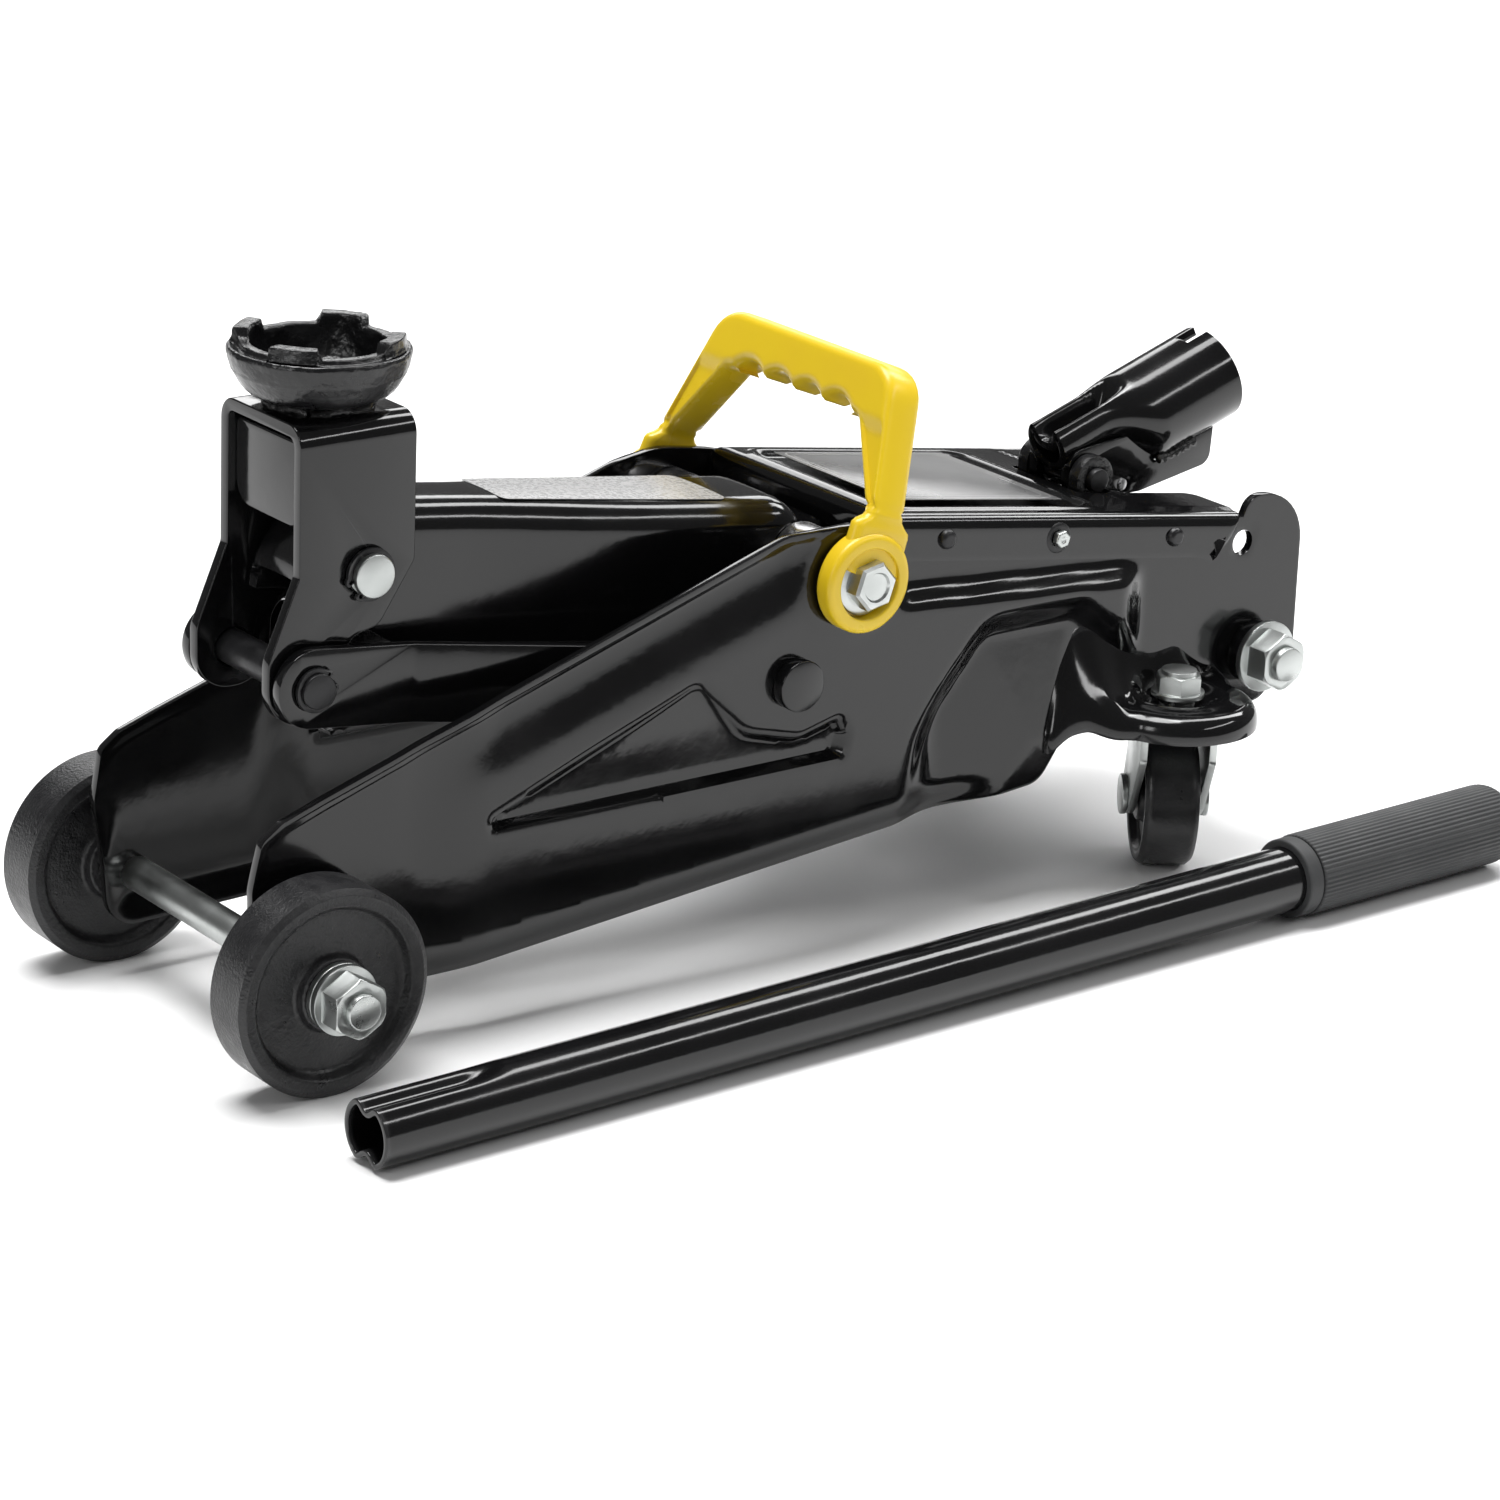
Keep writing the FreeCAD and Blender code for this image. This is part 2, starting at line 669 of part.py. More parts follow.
def saddle():
    """Cast cup: a domed underside, a rim ring and four lugs."""
    floor_z = saddle_base_z + 8.0
    ring_inner = saddle_rim_radius - 8.0
    outside = cone(10.5, saddle_rim_radius, (saddle_x, 0, saddle_base_z),
                   (saddle_x, 0, saddle_rim_z - 5.0))
    rim = rod(saddle_rim_radius, (saddle_x, 0, saddle_rim_z - 5.0), (saddle_x, 0, saddle_rim_z - 2.0))
    wall = rod(ring_inner + saddle_wall, (saddle_x, 0, saddle_rim_z - 3.0),
               (saddle_x, 0, saddle_rim_z))
    shape = outside.fuse(rim).fuse(wall)
    for i in range(4):
        lug = box(saddle_x + ring_inner - 1.0, saddle_x + ring_inner + 4.0, -7.0, 7.0,
                  saddle_rim_z - 3.0, saddle_rim_z + saddle_lug_height)
        lug.rotate(V(saddle_x, 0, 0), V(0, 0, 1), saddle_lug_turn + 90.0 * i)
        shape = shape.fuse(lug)
    shape = shape.cut(rod(ring_inner, (saddle_x, 0, floor_z), (saddle_x, 0, saddle_rim_z + 20.0)))
    return shape.removeSplitter()


part("saddle", saddle())


# ---------------------------------------------------------------- top cover
def cover():
    """Sheet cover with a sloping top, side skirts outside the plates and a slot for the socket."""
    half = cover_half_width
    front_lip_z = cover_top_z(cover_front_x) - 11.0
    top = [(cover_front_x, cover_top_z(cover_front_x), 2.5),
           (cover_rear_x, cover_top_z(cover_rear_x), 6.0),
           (cover_rear_x - 4.0, cover_top_z(cover_rear_x) - cover_skirt, 5.0),
           (cover_front_x, cover_top_z(cover_front_x) - cover_skirt, 3.0)]
    whole = prism_xz(top, -half, half)
    inside = half - cover_thickness
    hollow = prism_xz([(cover_front_x + cover_thickness, cover_top_z(cover_front_x) - cover_thickness, 0),
                       (cover_rear_x + 20.0, cover_top_z(cover_rear_x + 20.0) - cover_thickness, 0),
                       (cover_rear_x + 20.0, 60.0, 0),
                       (cover_front_x + cover_thickness, 60.0, 0)], -inside, inside)
    shape = whole.cut(hollow)
    shape = shape.cut(box(cover_front_x - 1.0, cover_front_x + cover_thickness + 0.5,
                          -half - 1, half + 1, 60.0, front_lip_z))
    for front_x, half_gap in ((cover_cut_front_x, cover_cut_half_width),
                              (cover_slot_front_x, cover_slot_half_width)):
        shape = shape.cut(box(front_x, cover_rear_x + 30.0, -half_gap, half_gap, 80.0, 200.0))
    under_top = prism_xz([(cover_front_x - 5.0, cover_top_z(cover_front_x - 5.0) - cover_thickness, 0),
                          (strip_start_x + 1.0, cover_top_z(strip_start_x + 1.0) - cover_thickness, 0),
                          (strip_start_x + 1.0, 60.0, 0), (cover_front_x - 5.0, 60.0, 0)],
                         rear_inner - 1.0, half + 5.0)
    shape = shape.cut(under_top).cut(mirror_y(under_top))
    for x, z in cover_screw_places():
        shape = shape.cut(rod(screw_radius + pin_fit, (x, -80.0, z), (x, 80.0, z)))
    return shape.removeSplitter()


part("top_cover", cover())

label_thickness = 0.5
label_x0 = cover_front_x + 14.0
label_x1 = cover_slot_front_x - 20.0
label = prism_xz([(label_x0, cover_top_z(label_x0), 0),
                  (label_x1, cover_top_z(label_x1), 0),
                  (label_x1, cover_top_z(label_x1) + label_thickness, 0),
                  (label_x0, cover_top_z(label_x0) + label_thickness, 0)], -32.0, 32.0)
part("cover_label", label)


def cover_screw(x, z):
    """Hex-head screw through the skirt and the plate, on the +Y side."""
    return fuse([
        rod(screw_radius, (x, rear_inner - 4.0, z), (x, cover_half_width, z)),
        hexagon(7.0, (x, cover_half_width, z), (x, cover_half_width + 2.6, z)),
    ])


screws = []
for screw_x, screw_z in cover_screw_places():
    screw = cover_screw(screw_x, screw_z)
    screws.append(screw)
    screws.append(mirror_y(screw))
part("cover_screws", Part.makeCompound(screws))


# ---------------------------------------------------------------- rear cross bolt
cross_nut_start = rear_half_width + spacer_length
cross_bolt_half = cross_nut_start + 13.5
part("rear_cross_bolt", rod(cross_bolt_radius, (cross_bolt_x, -cross_bolt_half, cross_bolt_z),
                            (cross_bolt_x, cross_bolt_half, cross_bolt_z)))
cross_nut = nut_along_y(18.0, 12.5, cross_bolt_radius + pin_fit, cross_bolt_x, cross_bolt_z,
                        cross_nut_start, 11.0, 1)
part("rear_bolt_nuts", pair(cross_nut))
outer_spacer = tube(11.0, cross_bolt_radius + pin_fit,
                    (cross_bolt_x, rear_half_width, cross_bolt_z),
                    (cross_bolt_x, cross_nut_start, cross_bolt_z))
inner_spacer = tube(10.0, cross_bolt_radius + pin_fit,
                    (cross_bolt_x, block_half_width, cross_bolt_z),
                    (cross_bolt_x, rear_inner, cross_bolt_z))
part("rear_spacers", Part.makeCompound([outer_spacer, mirror_y(outer_spacer),
                                        inner_spacer, mirror_y(inner_spacer)]))


# ---------------------------------------------------------------- hydraulic unit
ear_inner = 11.0
ear_outer = 15.5
plunger_top_z = socket_pivot_z - 11.0
barrel_radius = 8.5
barrel_top_z = block_top_z + 9.0


def pump_block():
    """Cast base of the unit, with the ears that carry the handle socket's pin."""
    shape = prism_xz([(block_front_x, block_bottom_z, 4.0), (block_rear_x - 9.0, block_bottom_z, 5.0),
                      (block_rear_x, cross_bolt_z - 4.0, 5.0), (block_rear_x, block_top_z - 12.0, 8.0),
                      (block_rear_x - 16.0, block_top_z, 5.0), (block_front_x, block_top_z, 4.0)],
                     -block_half_width, block_half_width)
    for sign in (-1, 1):
        y0 = min(sign * ear_inner, sign * ear_outer)
        ear = slab(8.0, socket_pivot_x, socket_pivot_z, socket_pivot_x, block_top_z - 4.0,
                   y0, y0 + ear_outer - ear_inner)
        shape = shape.fuse(ear)
    shape = shape.cut(rod(socket_pin_radius + pin_fit, (socket_pivot_x, -40.0, socket_pivot_z),
                          (socket_pivot_x, 40.0, socket_pivot_z)))
    shape = shape.cut(rod(cross_bolt_radius + pin_fit, (cross_bolt_x, -60.0, cross_bolt_z),
                          (cross_bolt_x, 60.0, cross_bolt_z)))
    shape = shape.cut(rod(barrel_radius - 1.5, (plunger_x, 0, block_top_z - 14.0),
                          (plunger_x, 0, block_top_z + 1.0)))
    shape = shape.cut(rod(valve_radius + running_gap, (block_rear_x + 1.0, 0, valve_z),
                          (block_rear_x - valve_depth, 0, valve_z)))
    return shape.removeSplitter()


socket_pin_radius = 4.0
valve_radius = 5.0
valve_z = 84.0
valve_depth = 22.0
part("pump_block", pump_block())

half_stroke = crank_radius * math.sin(math.radians((arm_high_angle - arm_low_angle) / 2.0))
stroke_margin = 2.2
ram_back_travel = pivot_x + half_stroke - push_x
ram_forward_travel = push_x - (pivot_x - half_stroke)
ram_head_rear_x = push_x + push_pin_radius + 12.0
cylinder_front_x = ram_head_rear_x + ram_back_travel + stroke_margin + gland_length
piston_length = 10.0
cylinder_bore = ram_radius + 2.5

part("main_cylinder", tube(cylinder_outer_radius, cylinder_bore,
                           (cylinder_front_x, 0, ram_axis_z), (block_front_x, 0, ram_axis_z)))
reservoir = tube(reservoir_outer_radius, reservoir_outer_radius - reservoir_wall,
                 (cylinder_front_x + 8.0, 0, ram_axis_z), (block_front_x, 0, ram_axis_z))
plug_x = cylinder_front_x + 26.0
plug_radius = 4.0
reservoir = reservoir.cut(rod(plug_radius, (plug_x, 0, ram_axis_z + reservoir_outer_radius - 6.0),
                              (plug_x, 0, ram_axis_z + reservoir_outer_radius + 6.0)))
part("reservoir_tube", reservoir)
gland = tube(cylinder_outer_radius, ram_radius + pin_fit,
             (cylinder_front_x - gland_length, 0, ram_axis_z), (cylinder_front_x, 0, ram_axis_z))
flange = tube(reservoir_outer_radius, cylinder_outer_radius + pin_fit,
              (cylinder_front_x - 1.0, 0, ram_axis_z), (cylinder_front_x + 8.0, 0, ram_axis_z))
gland_skirt = tube(cylinder_outer_radius + 1.0, cylinder_outer_radius - 1.0,
                   (cylinder_front_x - 1.0, 0, ram_axis_z), (cylinder_front_x, 0, ram_axis_z))
part("cylinder_gland", fuse([gland, gland_skirt, flange]))
plug_top = ram_axis_z + reservoir_outer_radius
part("filler_plug", fuse([
    rod(plug_radius - pin_fit, (plug_x, 0, plug_top - reservoir_wall), (plug_x, 0, plug_top + 0.2)),
    rod(plug_radius + 2.0, (plug_x, 0, plug_top + 0.1), (plug_x, 0, plug_top + 2.5)),
]))

part("pump_barrel", tube(barrel_radius, plunger_radius + pin_fit,
                         (plunger_x, 0, block_top_z), (plunger_x, 0, barrel_top_z)))
part("pump_plunger", fuse([
    rod(plunger_radius, (plunger_x, 0, block_top_z - 10.0), (plunger_x, 0, plunger_top_z)),
    rod(plunger_radius + 1.0, (plunger_x, 0, plunger_top_z - 2.5), (plunger_x, 0, plunger_top_z)),
]))
valve_end_x = block_rear_x + 5.0
valve = rod(valve_radius, (block_rear_x - valve_depth + 1.0, 0, valve_z), (valve_end_x, 0, valve_z))
valve = valve.cut(box(valve_end_x - 3.0, valve_end_x + 1.0, -1.0, 1.0, valve_z - 9.0, valve_z + 9.0))
part("release_valve", valve)


# ---------------------------------------------------------------- ram
head_half_height = 17.0
head_half_width = 16.0
slot_side = 1.0
peg_z = 59.0
peg_y = 22.0
spring_radius = 4.5


def ram_head():
    """Yoke with an upright slot for the push pin and a lower cross bar for the springs."""
    front = push_x - push_pin_radius - 10.0
    body = box(front, ram_head_rear_x, -head_half_width, head_half_width,
               ram_axis_z - head_half_height, ram_axis_z + head_half_height)
    low_z = push_z - push_pin_radius - 2.5
    high_z = pivot_z - crank_radius * math.cos(
        math.radians((arm_high_angle - arm_low_angle) / 2.0)) + push_pin_radius + 1.5
    slot = box(push_x - push_pin_radius - slot_side, push_x + push_pin_radius + slot_side,
               -60.0, 60.0, low_z, high_z)
    body = body.cut(slot)
    bar = box(ram_head_rear_x - 9.0, ram_head_rear_x, -peg_y - 4.5, peg_y + 4.5,
              peg_z - 5.0, ram_axis_z - head_half_height)
    return fuse([body, bar])


part("ram_head", ram_head())
piston_x = cylinder_front_x + ram_forward_travel + stroke_margin
part("ram_rod", rod(ram_radius, (ram_head_rear_x, 0, ram_axis_z), (piston_x, 0, ram_axis_z)))
part("ram_piston", rod(cylinder_bore - 0.05, (piston_x, 0, ram_axis_z),
                       (piston_x + piston_length, 0, ram_axis_z)))

spring = tube(spring_radius, spring_radius - 1.4, (ram_head_rear_x + running_gap, peg_y, peg_z),
              (block_front_x - running_gap, peg_y, peg_z))
part("return_springs", pair(spring))


# ---------------------------------------------------------------- handle socket
def along_socket(distance, height=0.0):
    """Point on the centre plane, measured along and above the socket's axis."""
    turn = math.radians(socket_angle)
    x = socket_start_x + distance * math.cos(turn) - height * math.sin(turn)
    z = socket_start_z + distance * math.sin(turn) + height * math.cos(turn)
    return (x, 0.0, z)


crimp_length = 22.0
neck_length = 8.0
crimp_radius = 9.5
crimp_bite = 2.0             # lowest line of the narrow end, above the pivot
crimp_rise = socket_outer_radius - crimp_radius
socket_bore_depth = 31.0     # from the mouth down to the web that stops the bar
socket_web = 3.0
socket_start_x = socket_pivot_x - 1.0
socket_start_z = socket_pivot_z + crimp_bite + crimp_radius - crimp_rise
socket_way = V(math.cos(math.radians(socket_angle)), 0, math.sin(math.radians(socket_angle)))
cheek_inner = 6.5
cheek_outer = 10.5
cheek_reach = 57.0           # from the pivot to the cheeks' rear end


def socket_neck(growth):
    """The stretch where the tube narrows upwards, so that its top stays straight."""
    rings = []
    for distance, height, radius in ((crimp_length, crimp_rise, crimp_radius),
                                     (crimp_length + neck_length, 0.0, socket_outer_radius)):
        ring = Part.makeCircle(radius + growth, V(*along_socket(distance, height)), socket_way)
        rings.append(Part.Wire(ring))
    return Part.makeLoft(rings, True, True)


def socket_tube():
    """Tube that takes the handle bar, necked down at its lower end, with a notch at its mouth."""
    neck_end = crimp_length + neck_length
    outer = fuse([
        rod(crimp_radius, along_socket(-6.0, crimp_rise), along_socket(crimp_length, crimp_rise)),
        socket_neck(0.0),
        rod(socket_outer_radius, along_socket(neck_end), along_socket(socket_length)),
    ])
    stop = socket_length - socket_bore_depth
    outer = outer.cut(rod(socket_bore_radius, along_socket(stop),
                          along_socket(socket_length + 5.0)))
    outer = outer.cut(rod(socket_bore_radius - 2.0, along_socket(neck_end - 1.0),
                          along_socket(stop - socket_web)))
    outer = outer.cut(rod(crimp_radius - 3.0, along_socket(-10.0, crimp_rise),
                          along_socket(crimp_length + 2.0, crimp_rise)))
    outer = outer.cut(socket_neck(socket_bore_radius - socket_outer_radius))
    notch = turn_y(box(socket_start_x + socket_length - 9.0, socket_start_x + socket_length + 5.0,
                       -3.0, 3.0, socket_start_z + 8.0, socket_start_z + 40.0),
                   socket_start_x, socket_start_z, -socket_angle)
    return outer.cut(notch)


socket_body = socket_tube()
roller_turn = math.radians(-18.0)
roller_reach = 18.0
roller_x = socket_pivot_x + roller_reach * math.cos(roller_turn)
roller_z = socket_pivot_z + roller_reach * math.sin(roller_turn)
roller_radius = 5.0


def socket_yoke():
    """Two cheeks under the tube, joined across the back, that turn on the pivot pin."""
    outline = [(socket_pivot_x - 7.5, socket_pivot_z - 6.5, 6.0),
               (roller_x - 6.0, roller_z - 3.5, 4.0),
               (roller_x + 8.0, roller_z - 3.5, 4.0),
               (socket_pivot_x + cheek_reach, socket_pivot_z - 3.0, 5.0),
               (socket_pivot_x + cheek_reach + 1.0, socket_pivot_z + 16.0, 3.0),
               (socket_pivot_x - 7.5, socket_pivot_z + 9.0, 6.0)]
    cheek = prism_xz(outline, cheek_inner, cheek_outer)
    back = box(socket_pivot_x + cheek_reach - 6.0, socket_pivot_x + cheek_reach - 2.0,
               -cheek_inner, cheek_inner,
               socket_pivot_z - 2.0, socket_pivot_z + 12.0)
    shape = fuse([cheek, mirror_y(cheek), back])
    solid_tube = rod(socket_outer_radius + pin_fit, along_socket(crimp_length + neck_length),
                     along_socket(socket_length + 1.0))
    shape = shape.cut(solid_tube).cut(socket_neck(pin_fit))
    shape = shape.cut(rod(crimp_radius + pin_fit, along_socket(-12.0, crimp_rise),
                          along_socket(crimp_length, crimp_rise)))
    pin_hole = rod(socket_pin_radius + pin_fit, (socket_pivot_x, -40.0, socket_pivot_z),
                   (socket_pivot_x, 40.0, socket_pivot_z))
    roller_hole = rod(roller_radius - 2.6, (roller_x, -40.0, roller_z), (roller_x, 40.0, roller_z))
    return shape.cut(pin_hole).cut(roller_hole)


yoke = socket_yoke()
clear_pin = rod(socket_pin_radius + pin_fit, (socket_pivot_x, -40.0, socket_pivot_z),
                (socket_pivot_x, 40.0, socket_pivot_z))
part("socket_tube", socket_body.cut(clear_pin))
part("socket_yoke", yoke)
part("pump_roller", fuse([
    rod(roller_radius, (roller_x, -cheek_inner + running_gap, roller_z),
        (roller_x, cheek_inner - running_gap, roller_z)),
    rod(roller_radius - 2.6 - pin_fit, (roller_x, -cheek_outer, roller_z),
        (roller_x, cheek_outer, roller_z)),
]))
pin_half = ear_outer + 2.5
part("socket_pivot_pin", fuse([
    rod(socket_pin_radius, (socket_pivot_x, -pin_half, socket_pivot_z),
        (socket_pivot_x, ear_outer, socket_pivot_z)),
    rod(socket_pin_radius + 2.0, (socket_pivot_x, ear_outer, socket_pivot_z),
        (socket_pivot_x, pin_half, socket_pivot_z)),
]))


# ---------------------------------------------------------------- casters
race_height = caster_plate_bottom_z - fork_top_z - 2 * running_gap


def caster_bracket():
    """Ear on the -Y side: a round shelf with a turned-down rim and a flange on the side plate."""
    y = -caster_y
    rim_depth = 5.0
    shelf = prism_xy([(caster_x - caster_ear_radius - 6.0, -rear_inner, 0),
                      (caster_x - caster_ear_radius, y - caster_ear_radius, caster_ear_radius - 3.0),
                      (caster_x + caster_ear_radius, y - caster_ear_radius, caster_ear_radius - 3.0),
                      (caster_x + caster_ear_radius + 4.0, -rear_inner, 0)],
                     caster_plate_bottom_z - rim_depth, caster_plate_top_z)
    inset = 3.0
    pocket = prism_xy([(caster_x - caster_ear_radius - 6.0 + inset, -rear_inner + 1.0, 0),
                       (caster_x - caster_ear_radius + inset, y - caster_ear_radius + inset,
                        caster_ear_radius - 3.0 - inset),
                       (caster_x + caster_ear_radius - inset, y - caster_ear_radius + inset,
                        caster_ear_radius - 3.0 - inset),
                       (caster_x + caster_ear_radius + 4.0 - inset, -rear_inner + 1.0, 0)],
                      0.0, caster_plate_bottom_z)
    flange_plate = box(caster_x - caster_ear_radius + 16.0, caster_x + caster_ear_radius,
                       -rear_half_width - 2.5, -rear_half_width, caster_plate_top_z - 2.0,
                       caster_plate_top_z + 17.0)
    shape = fuse([shelf.cut(pocket), flange_plate])
    shape = shape.cut(left_plate)
    shape = shape.cut(box(0.0, big + 100.0, -rear_half_width, 0.0, 0.0, 200.0))
    shape = shape.cut(rod(kingpin_radius + pin_fit, (caster_x, y, 30.0), (caster_x, y, 90.0)))
    solids = sorted(shape.Solids, key=lambda solid: solid.Volume)
    return solids[-1]


left_ear = caster_bracket()
part("caster_bracket_left", left_ear)
part("caster_bracket_right", mirror_y(left_ear))
race = tube(12.0, kingpin_radius + pin_fit,
            (caster_x, caster_y, caster_plate_bottom_z - race_height),
            (caster_x, caster_y, caster_plate_bottom_z))
part("caster_races", pair(race))

# each caster trails away from the jack's near corner by its own amount, as it happens to stand
wheel_half = caster_width / 2.0
cheek_gap = wheel_half + running_gap + 0.7
caster_axle_radius = 4.0


def caster_fork():
    """Bent fork with its kingpin at the origin, trailing along +X."""
    length_back = 12.0
    outline = [(-length_back, fork_top_z, 3.0), (length_back + 2.0, fork_top_z, 3.0),
               (caster_trail + 9.0, caster_radius, 8.0), (caster_trail, caster_radius - 9.0, 8.0),
               (caster_trail - 9.0, caster_radius - 2.0, 8.0), (-length_back, fork_top_z - 12.0, 4.0)]
    outer_half = cheek_gap + fork_wall
    whole = prism_xz(outline, -outer_half, outer_half)
    hollow = box(-60.0, 60.0, -cheek_gap, cheek_gap, 0.0, fork_top_z - fork_wall)
    shape = whole.cut(hollow)
    hole = rod(kingpin_radius, (0, 0, 20.0), (0, 0, 60.0))
    axle_hole = rod(caster_axle_radius + pin_fit, (caster_trail, -40.0, caster_radius),
                    (caster_trail, 40.0, caster_radius))
    return shape.cut(hole).cut(axle_hole).removeSplitter()


def kingpin():
    """Pin riveted in the fork, with the lock nut on top of the bracket."""
    head = 1.5
    nut_bottom = caster_plate_top_z + running_gap
    return fuse([
        rod(kingpin_radius, (0, 0, fork_top_z - fork_wall), (0, 0, nut_bottom + 9.0)),
        rod(kingpin_radius + 2.5, (0, 0, fork_top_z - fork_wall - head), (0, 0, fork_top_z - fork_wall)),
        rod(9.0, (0, 0, nut_bottom), (0, 0, nut_bottom + 1.6)),
        hexagon(14.0, (0, 0, nut_bottom + 1.5), (0, 0, nut_bottom + 7.5)),
    ])


def caster_axle():
    outer = cheek_gap + fork_wall
    return fuse([
        rod(caster_axle_radius, (caster_trail, -outer, caster_radius),
            (caster_trail, outer, caster_radius)),
        rod(7.0, (caster_trail, -outer - 2.0, caster_radius), (caster_trail, -outer, caster_radius)),
        rod(7.0, (caster_trail, outer, caster_radius), (caster_trail, outer + 2.0, caster_radius)),
    ])


def caster_wheel():
    shape = rod(caster_radius, (caster_trail, -wheel_half, caster_radius),
                (caster_trail, wheel_half, caster_radius))
    for sign in (-1, 1):
        ring = tube(caster_radius - 4.0, 9.0, (caster_trail, sign * wheel_half, caster_radius),
                    (caster_trail, sign * (wheel_half - 3.5), caster_radius))
        shape = shape.cut(ring)
    tread_edges = [edge for edge in shape.Edges
                   if edge.Curve.TypeId == "Part::GeomCircle"
                   and abs(edge.Curve.Radius - caster_radius) < 0.01]
    shape = shape.makeChamfer(1.5, tread_edges)
    return shape.cut(rod(caster_axle_radius + pin_fit, (caster_trail, -40.0, caster_radius),
                         (caster_trail, 40.0, caster_radius)))


caster_headings = {"left": 56.0, "right": 56.0}


def place_caster(shape, side):
    """Turns a caster piece to its standing direction and puts it under its ear."""
    placed = shape.copy()
    placed.rotate(V(0, 0, 0), V(0, 0, 1), caster_headings[side])
    sign = -1 if side == "left" else 1
    placed.translate(V(caster_x, sign * caster_y, 0))
    return placed


for side in ("left", "right"):
    part("caster_fork_" + side, place_caster(caster_fork(), side))
    part("caster_kingpin_" + side, place_caster(kingpin(), side))
    part("caster_axle_" + side, place_caster(caster_axle(), side))
    part("caster_wheel_" + side, place_caster(caster_wheel(), side))


# ---------------------------------------------------------------- carry handle
def carry_handle():
    """Moulded loop: two rings on the pivot bolts, legs that lean in, and a grip bar."""
    ring_outer = carry_ring_inner + carry_ring_width
    depth = carry_bar_depth / 2.0
    leg_root = 12.0
    leg_inset = 3.0
    top = carry_reach
    bar = 13.0
    outline = [
        (ring_outer, 0.0, 0), (ring_outer - leg_inset, leg_root + 8.0, 8.0),
        (carry_top_half_width, top, 12.0), (-carry_top_half_width, top, 12.0),
        (-ring_outer + leg_inset, leg_root + 8.0, 8.0), (-ring_outer, 0.0, 0),
        (-carry_ring_inner, 0.0, 0), (-carry_ring_inner, leg_root + 9.0, 6.0),
        (-carry_top_half_width + 9.0, top - bar, 6.0), (carry_top_half_width - 9.0, top - bar, 6.0),
        (carry_ring_inner, leg_root + 9.0, 6.0), (carry_ring_inner, 0.0, 0),
    ]
    loop = prism_yz(outline, -depth, depth)
    rings = [rod(carry_ring_radius, (0, sign * carry_ring_inner, 0), (0, sign * ring_outer, 0))
             for sign in (-1, 1)]
    shape = fuse([loop] + rings)
    shape = shape.cut(rod(pivot_shaft_radius + running_gap, (0, -80.0, 0), (0, 80.0, 0)))
    for sign in (-1, 1):
        seat = rod(bolt_head_radius + 1.0, (0, sign * (ring_outer - carry_ring_recess), 0),
                   (0, sign * (ring_outer + 1.0), 0))
        shape = shape.cut(seat)
    shape.rotate(V(0, 0, 0), V(0, 1, 0), carry_lean)
    shape.translate(V(pivot_x, 0, pivot_z))
    return shape


part("carry_handle", carry_handle())


# ---------------------------------------------------------------- loose handle bar
def place_bar(shape):
    """Lays a piece of the bar down: its front edge and its thicker grip both touch the floor."""
    pitch = math.degrees(math.atan((bar_grip_radius - bar_radius) / bar_tube_length))
    placed = shape.copy()
    placed.rotate(V(0, 0, 0), V(0, 1, 0), -pitch)
    placed.rotate(V(0, 0, 0), V(0, 0, 1), bar_yaw)
    placed.translate(V(bar_front_x, bar_front_y, 0))
    return placed


def bar_tube():
    """Steel tube lying along +X, with two grooves pressed into its front end."""
    z = bar_radius
    groove_length = 44.0
    groove_radius = 5.0
    groove_depth = 3.0
    shape = rod(bar_radius, (0, 0, z), (bar_tube_length, 0, z))
    shape = shape.cut(rod(bar_radius - bar_wall, (-1.0, 0, z), (bar_tube_length + 1.0, 0, z)))
    for sign in (-1, 1):
        centre_z = z + sign * (bar_radius + groove_radius - groove_depth)
        press = rod(groove_radius, (-1.0, 0, centre_z), (groove_length, 0, centre_z))
        tip = Part.makeSphere(groove_radius, V(groove_length, 0, centre_z))
        pressed_wall = rod(groove_radius + bar_wall, (0.0, 0, centre_z), (groove_length, 0, centre_z))
        wall_tip = Part.makeSphere(groove_radius + bar_wall, V(groove_length, 0, centre_z))
        inside_tube = rod(bar_radius - 0.4, (0.0, 0, z), (groove_length + 20.0, 0, z))
        shape = shape.fuse(pressed_wall.fuse(wall_tip).common(inside_tube))
        shape = shape.cut(press.fuse(tip))
    return shape


def bar_grip():
    z = bar_radius
    start = bar_tube_length + 0.5
    stub = rod(bar_radius - bar_wall - 0.2, (bar_tube_length - 40.0, 0, z), (start + 3.0, 0, z))
    body = rod(bar_grip_radius, (start, 0, z), (start + bar_grip_length, 0, z))
    fillet_edges = [edge for edge in body.Edges
                    if abs(edge.BoundBox.XMax - start - bar_grip_length) < 0.01
                    and edge.BoundBox.XLength < 0.01]
    body = body.makeFillet(7.0, fillet_edges)
    return fuse([stub, body])


part("bar_tube", place_bar(bar_tube()))
part("bar_collar", place_bar(tube(bar_collar_radius, bar_radius + pin_fit,
                                  (bar_tube_length - bar_collar_length, 0, bar_radius),
                                  (bar_tube_length, 0, bar_radius))))
part("bar_grip", place_bar(bar_grip()))

# ---------------------------------------------------------------- files
os.makedirs("parts", exist_ok=True)
for name, shape in nodes.items():
    shape.exportStep(os.path.join("parts", name + ".step"))
print(len(nodes), "nodes")
for name, shape in nodes.items():
    if not shape.isValid() or not shape.Solids:
        print("bad shape:", name, shape.isValid(), len(shape.Solids))
print("saddle", round(saddle_x, 3), "rim", saddle_rim_z, "pins", round(upper_x, 2),
      round(upper_z, 2), round(lower_x, 2), round(lower_z, 2), "push", round(push_x, 2),
      round(push_z, 2), "stroke", round(2 * half_stroke, 2))
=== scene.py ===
import json
import math

